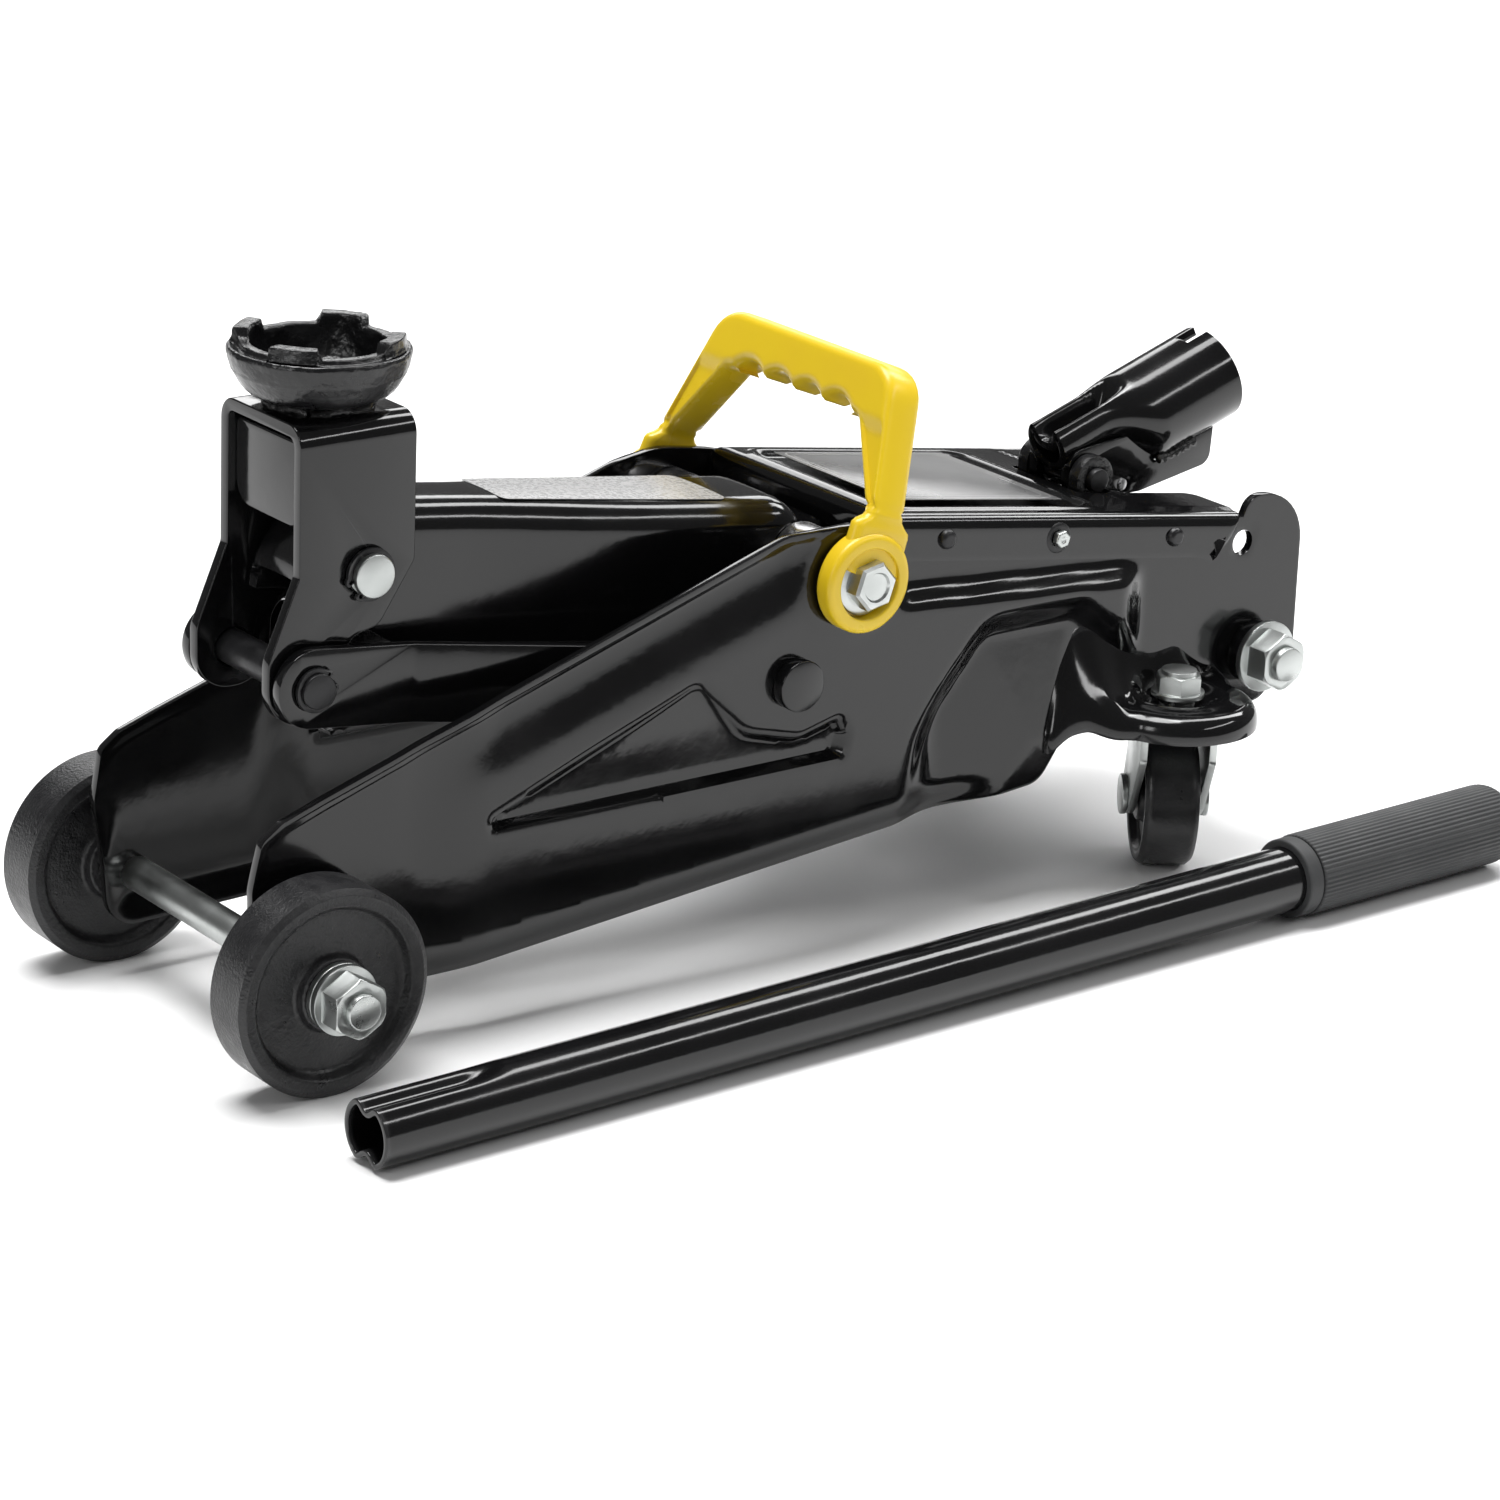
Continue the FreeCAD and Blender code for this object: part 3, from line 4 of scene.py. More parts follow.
import bmesh
import bpy
import numpy as np
from mathutils import Matrix, Vector, noise
from mathutils.geometry import delaunay_2d_cdt


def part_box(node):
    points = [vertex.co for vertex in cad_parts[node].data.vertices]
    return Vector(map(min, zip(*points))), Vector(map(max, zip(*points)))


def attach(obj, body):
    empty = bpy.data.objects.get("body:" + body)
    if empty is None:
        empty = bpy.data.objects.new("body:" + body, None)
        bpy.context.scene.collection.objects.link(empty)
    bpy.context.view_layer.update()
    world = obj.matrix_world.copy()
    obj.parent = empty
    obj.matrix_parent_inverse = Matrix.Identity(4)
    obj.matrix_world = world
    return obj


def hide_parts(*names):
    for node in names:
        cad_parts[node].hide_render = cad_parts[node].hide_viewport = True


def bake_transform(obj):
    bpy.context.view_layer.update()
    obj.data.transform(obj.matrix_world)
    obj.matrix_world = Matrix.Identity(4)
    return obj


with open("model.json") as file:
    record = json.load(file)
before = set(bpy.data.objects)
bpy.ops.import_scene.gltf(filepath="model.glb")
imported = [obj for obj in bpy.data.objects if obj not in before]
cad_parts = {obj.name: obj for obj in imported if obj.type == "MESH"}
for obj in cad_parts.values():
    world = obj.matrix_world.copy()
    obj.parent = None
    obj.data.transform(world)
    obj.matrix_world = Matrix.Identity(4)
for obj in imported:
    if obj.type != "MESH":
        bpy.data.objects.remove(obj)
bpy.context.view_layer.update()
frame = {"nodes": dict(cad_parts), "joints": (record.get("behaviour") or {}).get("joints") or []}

# Shapes are worked out in millimetres, in the frame's own axes, and turned into metres at the end.
MM = 0.001
JOINTS = {joint["name"]: joint for joint in frame["joints"]}


def joint_place(name):
    return Vector(JOINTS[name]["pos_m"]) / MM


def low(node):
    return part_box(node)[0] / MM


def high(node):
    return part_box(node)[1] / MM


# ---- places read from the frame
PIVOT = joint_place("arm_lift")
SADDLE_PIN = joint_place("saddle_level")
LINK_PIVOT = joint_place("link_swing")
SOCKET_PIVOT = joint_place("pump_stroke")
WHEEL_RADIUS = high("front_wheel_left").z / 2
WHEEL_OUTER = -low("front_wheel_left").y
WHEEL_INNER = -high("front_wheel_left").y
BODY_HALF = -low("side_plate_left").y
REAR_X = high("side_plate_left").x
PLATE_TOP = high("side_plate_left").z
COVER_LOW = low("top_cover")
COVER_HIGH = high("top_cover")
# outer faces of the plates from the centre plane, at the front and behind the body
FRONT_HALF = 48.5
REAR_HALF = 46.0
PLATE_THICKNESS = 3.0
EAR_TOP = 65.0
ARM_REST = math.radians(6.5)    # slope of the lift arm at rest
ARM_LENGTH = (PIVOT - SADDLE_PIN).length


# ---- curves and sheets
def smooth_step(low_edge, high_edge, value):
    t = np.clip((value - low_edge) / (high_edge - low_edge), 0.0, 1.0)
    return t * t * (3.0 - 2.0 * t)


def rounded_path(corners, closed=True, step=10.0):
    """Points along a path through corners (a, b, radius); arcs turn by step degrees at a time."""
    count = len(corners)
    path = []
    for i, (a, b, radius) in enumerate(corners):
        here = Vector((a, b))
        if radius <= 0 or (not closed and i in (0, count - 1)):
            path.append(here)
            continue
        before = (Vector(corners[i - 1][:2]) - here).normalized()
        after = (Vector(corners[(i + 1) % count][:2]) - here).normalized()
        half = before.angle(after) / 2
        reach = radius / math.tan(half)
        centre = here + (before + after).normalized() * (radius / math.sin(half))
        start = here + before * reach - centre
        turn = start.angle_signed(here + after * reach - centre)
        pieces = max(2, round(abs(math.degrees(turn)) / step))
        for k in range(pieces + 1):
            angle = -turn * k / pieces
            path.append(centre + Matrix.Rotation(angle, 2) @ start)
    return [(p.x, p.y) for p in path]


def spread(points, pitch, closed=True):
    """The same path with no two points further apart than pitch."""
    result = []
    count = len(points)
    for i in range(count if closed else count - 1):
        a = Vector(points[i])
        b = Vector(points[(i + 1) % count])
        pieces = max(1, math.ceil((b - a).length / pitch))
        for k in range(pieces):
            result.append(tuple(a.lerp(b, k / pieces)))
    if not closed:
        result.append(tuple(points[-1]))
    return result


def inside(points, outline):
    """True for each point that lies inside the closed outline."""
    x, y = points[:, 0], points[:, 1]
    result = np.zeros(len(points), bool)
    ring = np.array(outline)
    for (ax, ay), (bx, by) in zip(ring, np.roll(ring, -1, axis=0)):
        crosses = (ay > y) != (by > y)
        with np.errstate(divide="ignore", invalid="ignore"):
            cut = (bx - ax) * (y - ay) / (by - ay) + ax
        result ^= crosses & (x < cut)
    return result


def edge_distance(points, outline, closed=True):
    """Distance of each point from the outline."""
    ring = np.array(outline)
    ends = np.roll(ring, -1, axis=0)
    if not closed:
        ring, ends = ring[:-1], ends[:-1]
    best = np.full(len(points), 1e9)
    for a, b in zip(ring, ends):
        along = b - a
        length = max(float(along @ along), 1e-9)
        t = np.clip((points - a) @ along / length, 0.0, 1.0)
        best = np.minimum(best, np.linalg.norm(points - a - t[:, None] * along, axis=1))
    return best


def rolled(distance, radius):
    """Drop of a surface at each distance inside an edge that is rounded with this radius."""
    rise = np.sqrt(np.maximum(radius ** 2 - (radius - distance) ** 2, 0))
    return np.where(distance < radius, radius - rise, 0)


def ring_round_y(centre, along, size, count, turn=0.2):
    """Evenly spaced points round an axis along y."""
    angles = [2 * math.pi / count * k + turn for k in range(count)]
    return [centre + Vector((size * math.cos(a), along, size * math.sin(a))) for a in angles]


def parallel_row(path, offset, closed=True):
    """A path moved sideways by offset, to its left when positive."""
    points = np.array(path)
    if closed:
        along = np.roll(points, -1, axis=0) - np.roll(points, 1, axis=0)
    else:
        along = np.gradient(points, axis=0)
    along /= np.maximum(np.linalg.norm(along, axis=1), 1e-9)[:, None]
    return points + offset * np.stack([-along[:, 1], along[:, 0]], axis=1)


def flat_sheet(outline, pitch, holes=(), rim_rows=(), lines=()):
    """Fine triangles that fill an outline; holes are (x, y, radius).  Gives points and faces.
    rim_rows are distances inside the edge, and lines are (path, offsets, closed), for rows of
    points that follow the edge or a crease, so that its shape comes out clean."""
    ring = spread(outline, pitch)
    rings = [ring]
    for x, y, radius in holes:
        count = max(12, round(2 * math.pi * radius / pitch * 1.5))
        rings.append([(x + radius * math.cos(2 * math.pi * k / count),
                       y + radius * math.sin(2 * math.pi * k / count)) for k in range(count)])
    corner = np.array(ring)
    xs = np.arange(corner[:, 0].min(), corner[:, 0].max(), pitch)
    ys = np.arange(corner[:, 1].min(), corner[:, 1].max(), pitch * 0.866)
    lattice = np.array([(x + (j % 2) * pitch / 2, y) for j, y in enumerate(ys) for x in xs])
    clear = max(rim_rows, default=0.0) + pitch * 0.55
    keep = inside(lattice, ring) & (edge_distance(lattice, ring) > clear)
    rows = []
    turn = sum(ax * by - bx * ay for (ax, ay), (bx, by) in zip(ring, ring[1:] + ring[:1]))
    for offset in rim_rows:
        row = parallel_row(ring, math.copysign(offset, turn))
        rows.append(row[inside(row, ring) & (edge_distance(row, ring) > offset * 0.96)])
    for path, offsets, closed in lines:
        fine = spread(path, pitch, closed)
        reach = max(abs(o) for o in offsets)
        keep &= edge_distance(lattice, fine, closed) > reach + pitch * 0.5
        for offset in offsets:
            row = parallel_row(fine, offset, closed)
            good = inside(row, ring) & (edge_distance(row, ring) > clear * 0.9)
            good &= edge_distance(row, fine, closed) > abs(offset) * 0.93
            rows.append(row[good])
    for x, y, radius in holes:
        keep &= np.hypot(lattice[:, 0] - x, lattice[:, 1] - y) > radius + pitch * 0.55
    points = []
    edges = []
    for loop in rings:
        start = len(points)
        points += loop
        edges += [(start + k, start + (k + 1) % len(loop)) for k in range(len(loop))]
    for row in rows:
        for x, y, radius in holes:
            row = row[np.hypot(row[:, 0] - x, row[:, 1] - y) > radius + pitch * 0.4]
        points += [tuple(p) for p in row]
    points += [tuple(p) for p in lattice[keep]]
    verts, _, faces, _, _, _ = delaunay_2d_cdt([Vector(p) for p in points], edges, [], 1, 1e-5)
    flat = np.array([tuple(v) for v in verts])
    centres = np.array([flat[list(f)].mean(axis=0) for f in faces])
    good = inside(centres, ring)
    for x, y, radius in holes:
        good &= np.hypot(centres[:, 0] - x, centres[:, 1] - y) > radius * 0.98
    return flat, [tuple(f) for f, ok in zip(faces, good) if ok]


def lathe(profile, origin, axis, segments=96, shape=None):
    """Turns a profile of (radius, distance along the axis) about an axis.
    shape(radius, along, angle) may move each point and gives back (radius, along)."""
    axis = Vector(axis).normalized()
    side = Vector((1, 0, 0)) if abs(axis.z) > 0.9 else axis.orthogonal().normalized()
    other = axis.cross(side)
    verts = []
    for k in range(segments):
        angle = 2 * math.pi * k / segments
        way = side * math.cos(angle) + other * math.sin(angle)
        for radius, along in profile:
            if shape:
                radius, along = shape(radius, along, angle)
            verts.append(Vector(origin) + axis * along + way * radius)
    count = len(profile)
    faces = []
    for k in range(segments):
        for i in range(count - 1):
            a = k * count + i
            b = (k + 1) % segments * count + i
            faces.append((a, b, b + 1, a + 1))
    return verts, faces


def sweep(rings, closed_ring=True, caps=(True, True)):
    """Skin over rings of points that all have the same count."""
    verts = [Vector(p) for ring in rings for p in ring]
    count = len(rings[0])
    faces = []
    for k in range(len(rings) - 1):
        for i in range(count if closed_ring else count - 1):
            a = k * count + i
            b = k * count + (i + 1) % count
            faces.append((a, b, b + count, a + count))
    if caps[0]:
        faces.append(tuple(reversed(range(count))))
    if caps[1]:
        faces.append(tuple(range(len(verts) - count, len(verts))))
    return verts, faces


def bead(path, radius, seed):
    """Weld bead: a lumpy rope of metal along a path, flatter than it is wide."""
    flatness = 0.75
    points = [Vector(p) for p in path]
    rings = []
    for k, point in enumerate(points):
        along = (points[min(k + 1, len(points) - 1)] - points[max(k - 1, 0)]).normalized()
        side = along.orthogonal().normalized()
        other = along.cross(side)
        ripple = 1 + 0.16 * math.sin(k * 1.9) + 0.25 * noise.noise(point * 0.35 + Vector((seed, 0, 0)))
        size = radius * ripple * (0.35 if k in (0, len(points) - 1) else 1.0)
        rings.append([point + side * (size * math.cos(t)) + other * (size * flatness * math.sin(t))
                      for t in [2 * math.pi * i / 12 for i in range(12)]])
    return sweep(rings)


# ---- pieces
def make_mesh(name, verts, faces):
    mesh = bpy.data.meshes.new(name)
    mesh.from_pydata([Vector(v) * MM for v in verts], [], faces)
    mesh.validate()
    piece = bpy.data.objects.new(name, mesh)
    bpy.context.scene.collection.objects.link(piece)
    work = bmesh.new()
    work.from_mesh(mesh)
    bmesh.ops.remove_doubles(work, verts=work.verts, dist=0.00001)
    bmesh.ops.recalc_face_normals(work, faces=work.faces)
    work.to_mesh(mesh)
    work.free()
    return piece


def two_skins(front, back, faces):
    """Closes two sheets of matching points into one solid skin."""
    count = len(front)
    skin = list(faces) + [tuple(count + i for i in reversed(face)) for face in faces]
    uses = {}
    for face in faces:
        for k, a in enumerate(face):
            b = face[(k + 1) % len(face)]
            key = (min(a, b), max(a, b))
            uses[key] = uses.get(key, 0) + 1
    skin += [(a, b, b + count, a + count) for (a, b), times in uses.items() if times == 1]
    return list(front) + list(back), skin


def face_up(piece, chosen=lambda face: True):
    """Turns a sheet over if the chosen faces look down on the whole."""
    if sum(face.normal.z for face in piece.data.polygons if chosen(face)) < 0:
        piece.data.flip_normals()


def extend_rim(piece, on_rim, levels, move):
    """Grows rows of faces from the open edges whose ends both lie on_rim, then faces the sheet up.
    move(place, level) shifts each new point."""
    work = bmesh.new()
    work.from_mesh(piece.data)
    rim = [e for e in work.edges if e.is_boundary and all(on_rim(v.co / MM) for v in e.verts)]
    for level in range(levels):
        made = bmesh.ops.extrude_edge_only(work, edges=rim)["geom"]
        for item in made:
            if isinstance(item, bmesh.types.BMVert):
                move(item.co, level)
        rim = [item for item in made if isinstance(item, bmesh.types.BMEdge) and item.is_boundary]
    bmesh.ops.recalc_face_normals(work, faces=work.faces)
    work.to_mesh(piece.data)
    work.free()
    face_up(piece)


def thicken(piece, thickness, side):
    """Gives a sheet its thickness in mm; side is -1 inwards or 1 outwards of its normals."""
    modifier = piece.modifiers.new("thickness", "SOLIDIFY")
    modifier.thickness = thickness * MM
    modifier.offset = side
    modifier.use_even_offset = True


def round_edges(piece, width, angle=35.0, segments=2):
    modifier = piece.modifiers.new("edges", "BEVEL")
    modifier.width = width * MM
    modifier.segments = segments
    modifier.limit_method = "ANGLE"
    modifier.angle_limit = math.radians(angle)
    modifier.harden_normals = False


def settle(piece, body, material, replaces=(), sharp=38.0):
    """Applies the modifiers, sets shading and material, and fixes the piece to its body."""
    if piece.modifiers:
        graph = bpy.context.evaluated_depsgraph_get()
        mesh = bpy.data.meshes.new_from_object(piece.evaluated_get(graph))
        piece.modifiers.clear()
        piece.data = mesh
    mesh = piece.data
    mesh.polygons.foreach_set("use_smooth", [True] * len(mesh.polygons))
    mesh.set_sharp_from_angle(angle=math.radians(sharp))
    mesh.materials.clear()
    mesh.materials.append(material)
    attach(piece, body)
    if replaces:
        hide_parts(*replaces)
    return piece


def join(parts):
    """One set of points and faces from several."""
    verts = []
    faces = []
    for part_verts, part_faces in parts:
        start = len(verts)
        verts += list(part_verts)
        faces += [tuple(start + i for i in face) for face in part_faces]
    return verts, faces


def refined(node, body, material, width=0.5, angle=32.0, segments=2):
    """A CAD node's own shape with its corners broken as on the real piece."""
    source = frame["nodes"][node]
    piece = bpy.data.objects.new(node + "_finished", source.data.copy())
    bpy.context.scene.collection.objects.link(piece)
    work = bmesh.new()
    work.from_mesh(piece.data)
    bmesh.ops.remove_doubles(work, verts=work.verts, dist=0.000005)
    bmesh.ops.dissolve_limit(work, angle_limit=math.radians(1.5), verts=work.verts, edges=work.edges)
    work.to_mesh(piece.data)
    work.free()
    round_edges(piece, width, angle, segments)
    return settle(piece, body, material, (node,))


# ---- materials
def finish_material(name, colour, second, rough, metallic=0.0, patch_scale=40.0, patch_amount=0.5,
                    bump_scale=900.0, bump=0.1, bump_depth=0.0002, wear=None, wear_amount=0.5,
                    specular=0.5):
    """Procedural finish: patches of a second colour, uneven gloss between the two values of rough,
    fine relief, and corners worn to another colour."""
    material = bpy.data.materials.new(name)
    material.use_nodes = True
    nodes = material.node_tree.nodes
    links = material.node_tree.links
    shader = nodes["Principled BSDF"]
    shader.inputs["Metallic"].default_value = metallic
    shader.inputs["Coat Roughness"].default_value = 0.06
    shader.inputs["Specular IOR Level"].default_value = specular
    coords = nodes.new("ShaderNodeTexCoord").outputs["Object"]

    def cloud(scale, detail):
        """Noise in the piece's own coordinates."""
        node = nodes.new("ShaderNodeTexNoise")
        node.inputs["Scale"].default_value = scale
        node.inputs["Detail"].default_value = detail
        links.new(coords, node.inputs["Vector"])
        return node.outputs["Fac"]

    def ramp(value, low_in, high_in, low_out, high_out):
        node = nodes.new("ShaderNodeMapRange")
        node.inputs["From Min"].default_value = low_in
        node.inputs["From Max"].default_value = high_in
        node.inputs["To Min"].default_value = low_out
        node.inputs["To Max"].default_value = high_out
        links.new(value, node.inputs["Value"])
        return node.outputs["Result"]

    def mix(amount, over):
        """Colour mix towards a fixed colour; its inputs[6] is the colour under it."""
        node = nodes.new("ShaderNodeMix")
        node.data_type = "RGBA"
        node.inputs[7].default_value = (*over, 1)
        links.new(amount, node.inputs[0])
        return node

    patches = cloud(patch_scale, 6.0)
    blend = mix(ramp(patches, 0.42, 0.72, 0.0, patch_amount), second)
    blend.inputs[6].default_value = (*colour, 1)
    links.new(ramp(patches, 0.3, 0.7, *rough), shader.inputs["Roughness"])
    if wear:
        jitter = nodes.new("ShaderNodeMath")
        jitter.operation = "MULTIPLY_ADD"
        jitter.inputs[1].default_value = 0.10
        links.new(cloud(260.0, 4.0), jitter.inputs[0])
        links.new(nodes.new("ShaderNodeNewGeometry").outputs["Pointiness"], jitter.inputs[2])
        worn = mix(ramp(jitter.outputs[0], 0.60, 0.68, 0.0, wear_amount), wear)
        links.new(blend.outputs[2], worn.inputs[6])
        blend = worn
    links.new(blend.outputs[2], shader.inputs["Base Color"])
    relief = nodes.new("ShaderNodeBump")
    relief.inputs["Strength"].default_value = bump
    relief.inputs["Distance"].default_value = bump_depth
    links.new(cloud(bump_scale, 5.0), relief.inputs["Height"])
    links.new(relief.outputs["Normal"], shader.inputs["Normal"])
    return material


PAINT = finish_material("black_enamel", (0.0035, 0.0035, 0.0038), (0.006, 0.006, 0.0065), (0.07, 0.17),
                        patch_scale=22.0, bump_scale=130.0, bump_depth=0.0006,
                        wear=(0.05, 0.05, 0.052), wear_amount=0.35)
CAST_PAINT = finish_material("painted_casting", (0.005, 0.005, 0.0055), (0.010, 0.010, 0.011), (0.16, 0.34),
                             patch_scale=60.0, bump_scale=520.0, bump=0.55, bump_depth=0.0006,
                             wear=(0.07, 0.07, 0.072), wear_amount=0.4)
WHEEL_IRON = finish_material("wheel_iron", (0.010, 0.010, 0.011), (0.026, 0.026, 0.027), (0.26, 0.44),
                             patch_scale=160.0, bump_scale=1100.0, bump=0.55, bump_depth=0.0005,
                             wear=(0.06, 0.06, 0.062))
CASTER_IRON = finish_material("caster_iron", (0.016, 0.016, 0.017), (0.03, 0.03, 0.031), (0.26, 0.42),
                              patch_scale=120.0, bump_scale=800.0, bump=0.3, bump_depth=0.0004,
                              wear=(0.08, 0.08, 0.082))
ZINC = finish_material("zinc_plate", (0.50, 0.52, 0.51), (0.36, 0.38, 0.37), (0.26, 0.40), metallic=1.0,
                       patch_scale=60.0, patch_amount=0.4, bump_scale=1500.0, bump=0.12,
                       wear=(0.75, 0.76, 0.76), wear_amount=0.6)
STEEL = finish_material("ground_steel", (0.42, 0.42, 0.43), (0.30, 0.29, 0.28), (0.18, 0.34),
                        metallic=1.0, patch_scale=120.0, bump_scale=1200.0, bump=0.15)
OXIDE = finish_material("black_oxide", (0.012, 0.012, 0.013), (0.02, 0.02, 0.022), (0.28, 0.45),
                        metallic=0.3, patch_scale=150.0, bump_scale=1300.0, bump=0.2,
                        wear=(0.10, 0.10, 0.10))
YELLOW = finish_material("yellow_plastic", (0.78, 0.55, 0.014), (0.74, 0.49, 0.012), (0.24, 0.36),
                         patch_scale=25.0, patch_amount=0.6, bump_scale=1100.0, bump=0.12)
RUBBER = finish_material("grip_rubber", (0.030, 0.031, 0.032), (0.045, 0.046, 0.048), (0.55, 0.75),
                         patch_scale=70.0, bump_scale=1600.0, bump=0.35)
LABEL = finish_material("blank_label", (0.070, 0.070, 0.071), (0.11, 0.11, 0.112), (0.24, 0.34),
                        patch_scale=30.0, bump_scale=700.0, specular=0.9)
PRINT = finish_material("label_print", (0.30, 0.30, 0.30), (0.24, 0.24, 0.24), (0.35, 0.5),
                        patch_scale=80.0)
STICKER = finish_material("arm_label", (0.30, 0.30, 0.30), (0.44, 0.44, 0.44), (0.22, 0.34),
                          patch_scale=700.0, bump=0.12, specular=0.8)
WELD = finish_material("painted_weld", (0.006, 0.006, 0.006), (0.012, 0.012, 0.013), (0.12, 0.25),
                       patch_scale=200.0, bump=0.7, bump_depth=0.0005)


# ---- side plates
def cover_z(x):
    slope = 0.14
    return COVER_HIGH.z - slope * (x - COVER_LOW.x)


def plate_outline():
    under = 2.3
    return rounded_path([
        (-14.85, 60.0, 8.0), (-11.5, 17.0, 11.0), (40.0, 18.5, 12.0), (289.0, 41.0, 10.0),
        (301.0, 58.0, 6.0), (374.0, 58.0, 4.0), (383.0, 50.5, 5.0), (394.0, 50.5, 8.0),
        (REAR_X + 1.0, 67.5, 10.0), (REAR_X, 125.5, 19.0), (382.5, 125.5, 7.0),
        (379.5, cover_z(379.0) - under, 0), (222.0, cover_z(222.0) - under, 6.0),
        (PIVOT.x - 3.0, PLATE_TOP, 30.0), (PIVOT.x - 24.0, PLATE_TOP - 1.5, 18.0),
        (9.0, 85.5, 8.0), (-5.0, 80.5, 5.0), (-11.8, 75.5, 5.0)], step=9.0)


# Depths of the relief pressed into a plate, and the height of the recess's lower edge.
RECESS_DEPTH, CHANNEL_DEPTH, FENDER_DEPTH = 4.8, 4.0, 6.8
LOWER_EDGE_TUCK, SLOPE_LIP, LINK_BOSS, RING_SEAT = 3.2, 0.9, 0.8, 0.3
RECESS_LOW_Z = 63.2
# The link bars sweep past here, so the plate's two faces stay at least this far out.
SWEPT_OUTER, SWEPT_INNER = 47.3, 46.2
PANEL = rounded_path([
    (68.5, 63.0, 3.0), (136.0, 63.2, 40.0), (205.5, 63.4, 4.0), (207.5, 73.0, 4.5), (203.5, 79.8, 3.5),
    (187.0, 75.4, 8.0), (166.0, 81.0, 12.0), (146.0, 102.0, 7.0), (104.0, 85.0, 12.0), (67.0, 69.5, 3.0)],
    step=12.0)
FENDER = spread(rounded_path([
    (224.0, 48.0, 0), (232.0, 66.0, 16.0), (263.0, 102.0, 16.0), (306.0, 102.5, 14.0),
    (334.0, 82.0, 12.0), (362.0, 78.0, 0)], closed=False, step=10.0), 4.0, False)


def fender_side(points):
    """Signed distance from the fender's edge line: positive below it, where the metal dips."""
    line = np.array(FENDER)
    height = np.interp(points[:, 0], line[:, 0], line[:, 1])
    distance = edge_distance(points, FENDER, closed=False)
    inner = (points[:, 1] < height) & (points[:, 0] > line[0, 0])
    return np.where(inner, distance, -distance)


def plate_half_width(points, outline):
    """Distance of the plate's outer face from the centre plane."""
    x, z = points[:, 0], points[:, 1]
    half = FRONT_HALF + (BODY_HALF - FRONT_HALF) * smooth_step(40.0, 68.0, x)
    half -= (BODY_HALF - REAR_HALF) * smooth_step(321.0, 337.0, x)
    ledge = 118.0 - 0.0693 * (x - 227.0)
    strip = smooth_step(221.0, 231.0, x) * smooth_step(-7.5, 0.5, z - ledge)
    half = half * (1 - strip) + REAR_HALF * strip
    within = inside(points, PANEL)
    depth = edge_distance(points, PANEL)
    signed = np.where(within, depth, -depth)
    floor_line = np.clip(z - RECESS_LOW_Z, 0.0, None)
    shelf = smooth_step(0.0, 2.8, floor_line) * (0.35 + 0.65 * (1 - smooth_step(0.0, 34.0, floor_line)))
    half -= RECESS_DEPTH * smooth_step(0.0, 4.0, signed) * shelf
    top_line = 79.0 + (x + 0.5) * 0.325
    below = np.clip((top_line - z) * 0.951, 0.0, None)
    channel = smooth_step(34.0, 76.0, x) * (1 - smooth_step(178.0, 200.0, x))
    half -= CHANNEL_DEPTH * channel * (1 - smooth_step(0.0, 25.0, below))
    rim = edge_distance(points, outline)
    slanted = smooth_step(62.0, 80.0, z) * (1 - smooth_step(186.0, 196.0, x))
    half += SLOPE_LIP * slanted * (1 - smooth_step(1.4, 4.0, rim))
    floor_edge = 1 - smooth_step(44.0, 66.0, z - (x - 60.0) * 0.09)
    floor_edge *= (1 - smooth_step(0.0, 10.0, rim)) * (1 - smooth_step(250.0, 275.0, x))
    half -= LOWER_EDGE_TUCK * floor_edge
    under = fender_side(points)
    dip = smooth_step(-3.0, 10.0, under) * np.clip(1 - (under - 7.0) / 40.0, 0.0, 1.0)
    dip *= smooth_step(228.0, 250.0, x) * (1 - smooth_step(322.0, 336.0, x))
    half -= FENDER_DEPTH * dip
    boss = np.hypot(x - LINK_PIVOT.x, z - LINK_PIVOT.z)
    half += LINK_BOSS * (1 - smooth_step(10.5, 15.5, boss)) * within
    ring_seat = np.hypot(x - PIVOT.x, z - PIVOT.z)
    half += RING_SEAT * (1 - smooth_step(19.0, 22.0, ring_seat))
    return np.minimum(half, BODY_HALF + RING_SEAT)


def side_plate(side, sign):
    outline = plate_outline()
    holes = [(380.0, 109.5, 4.5)]
    flat, faces = flat_sheet(outline, 2.3, holes, (1.1, 2.2, 3.3, 4.5, 6.0, 7.8, 9.8),
                             [(PANEL, (-3.6, -2.4, -1.2, 0.0, 1.1, 2.2, 3.4, 5.0), True)])
    half = plate_half_width(flat, outline)
    swept = smooth_step(85.0, 125.0, flat[:, 0]) * (1 - smooth_step(204.0, 214.0, flat[:, 0]))
    half = np.maximum(half, SWEPT_OUTER * swept)
    inner = np.maximum(half - PLATE_THICKNESS, SWEPT_INNER * swept)
    front = [Vector((x, sign * h, z)) for (x, z), h in zip(flat, half)]
    back = [Vector((x, sign * h, z)) for (x, z), h in zip(flat, inner)]
    verts, skin = two_skins(front, back, faces)
    node = "side_plate_" + side
    piece = make_mesh(node + "_pressed", verts, skin)
    round_edges(piece, 0.8, 55.0, 2)
    settle(piece, "frame", PAINT, (node,))


side_plate("left", -1)
side_plate("right", 1)


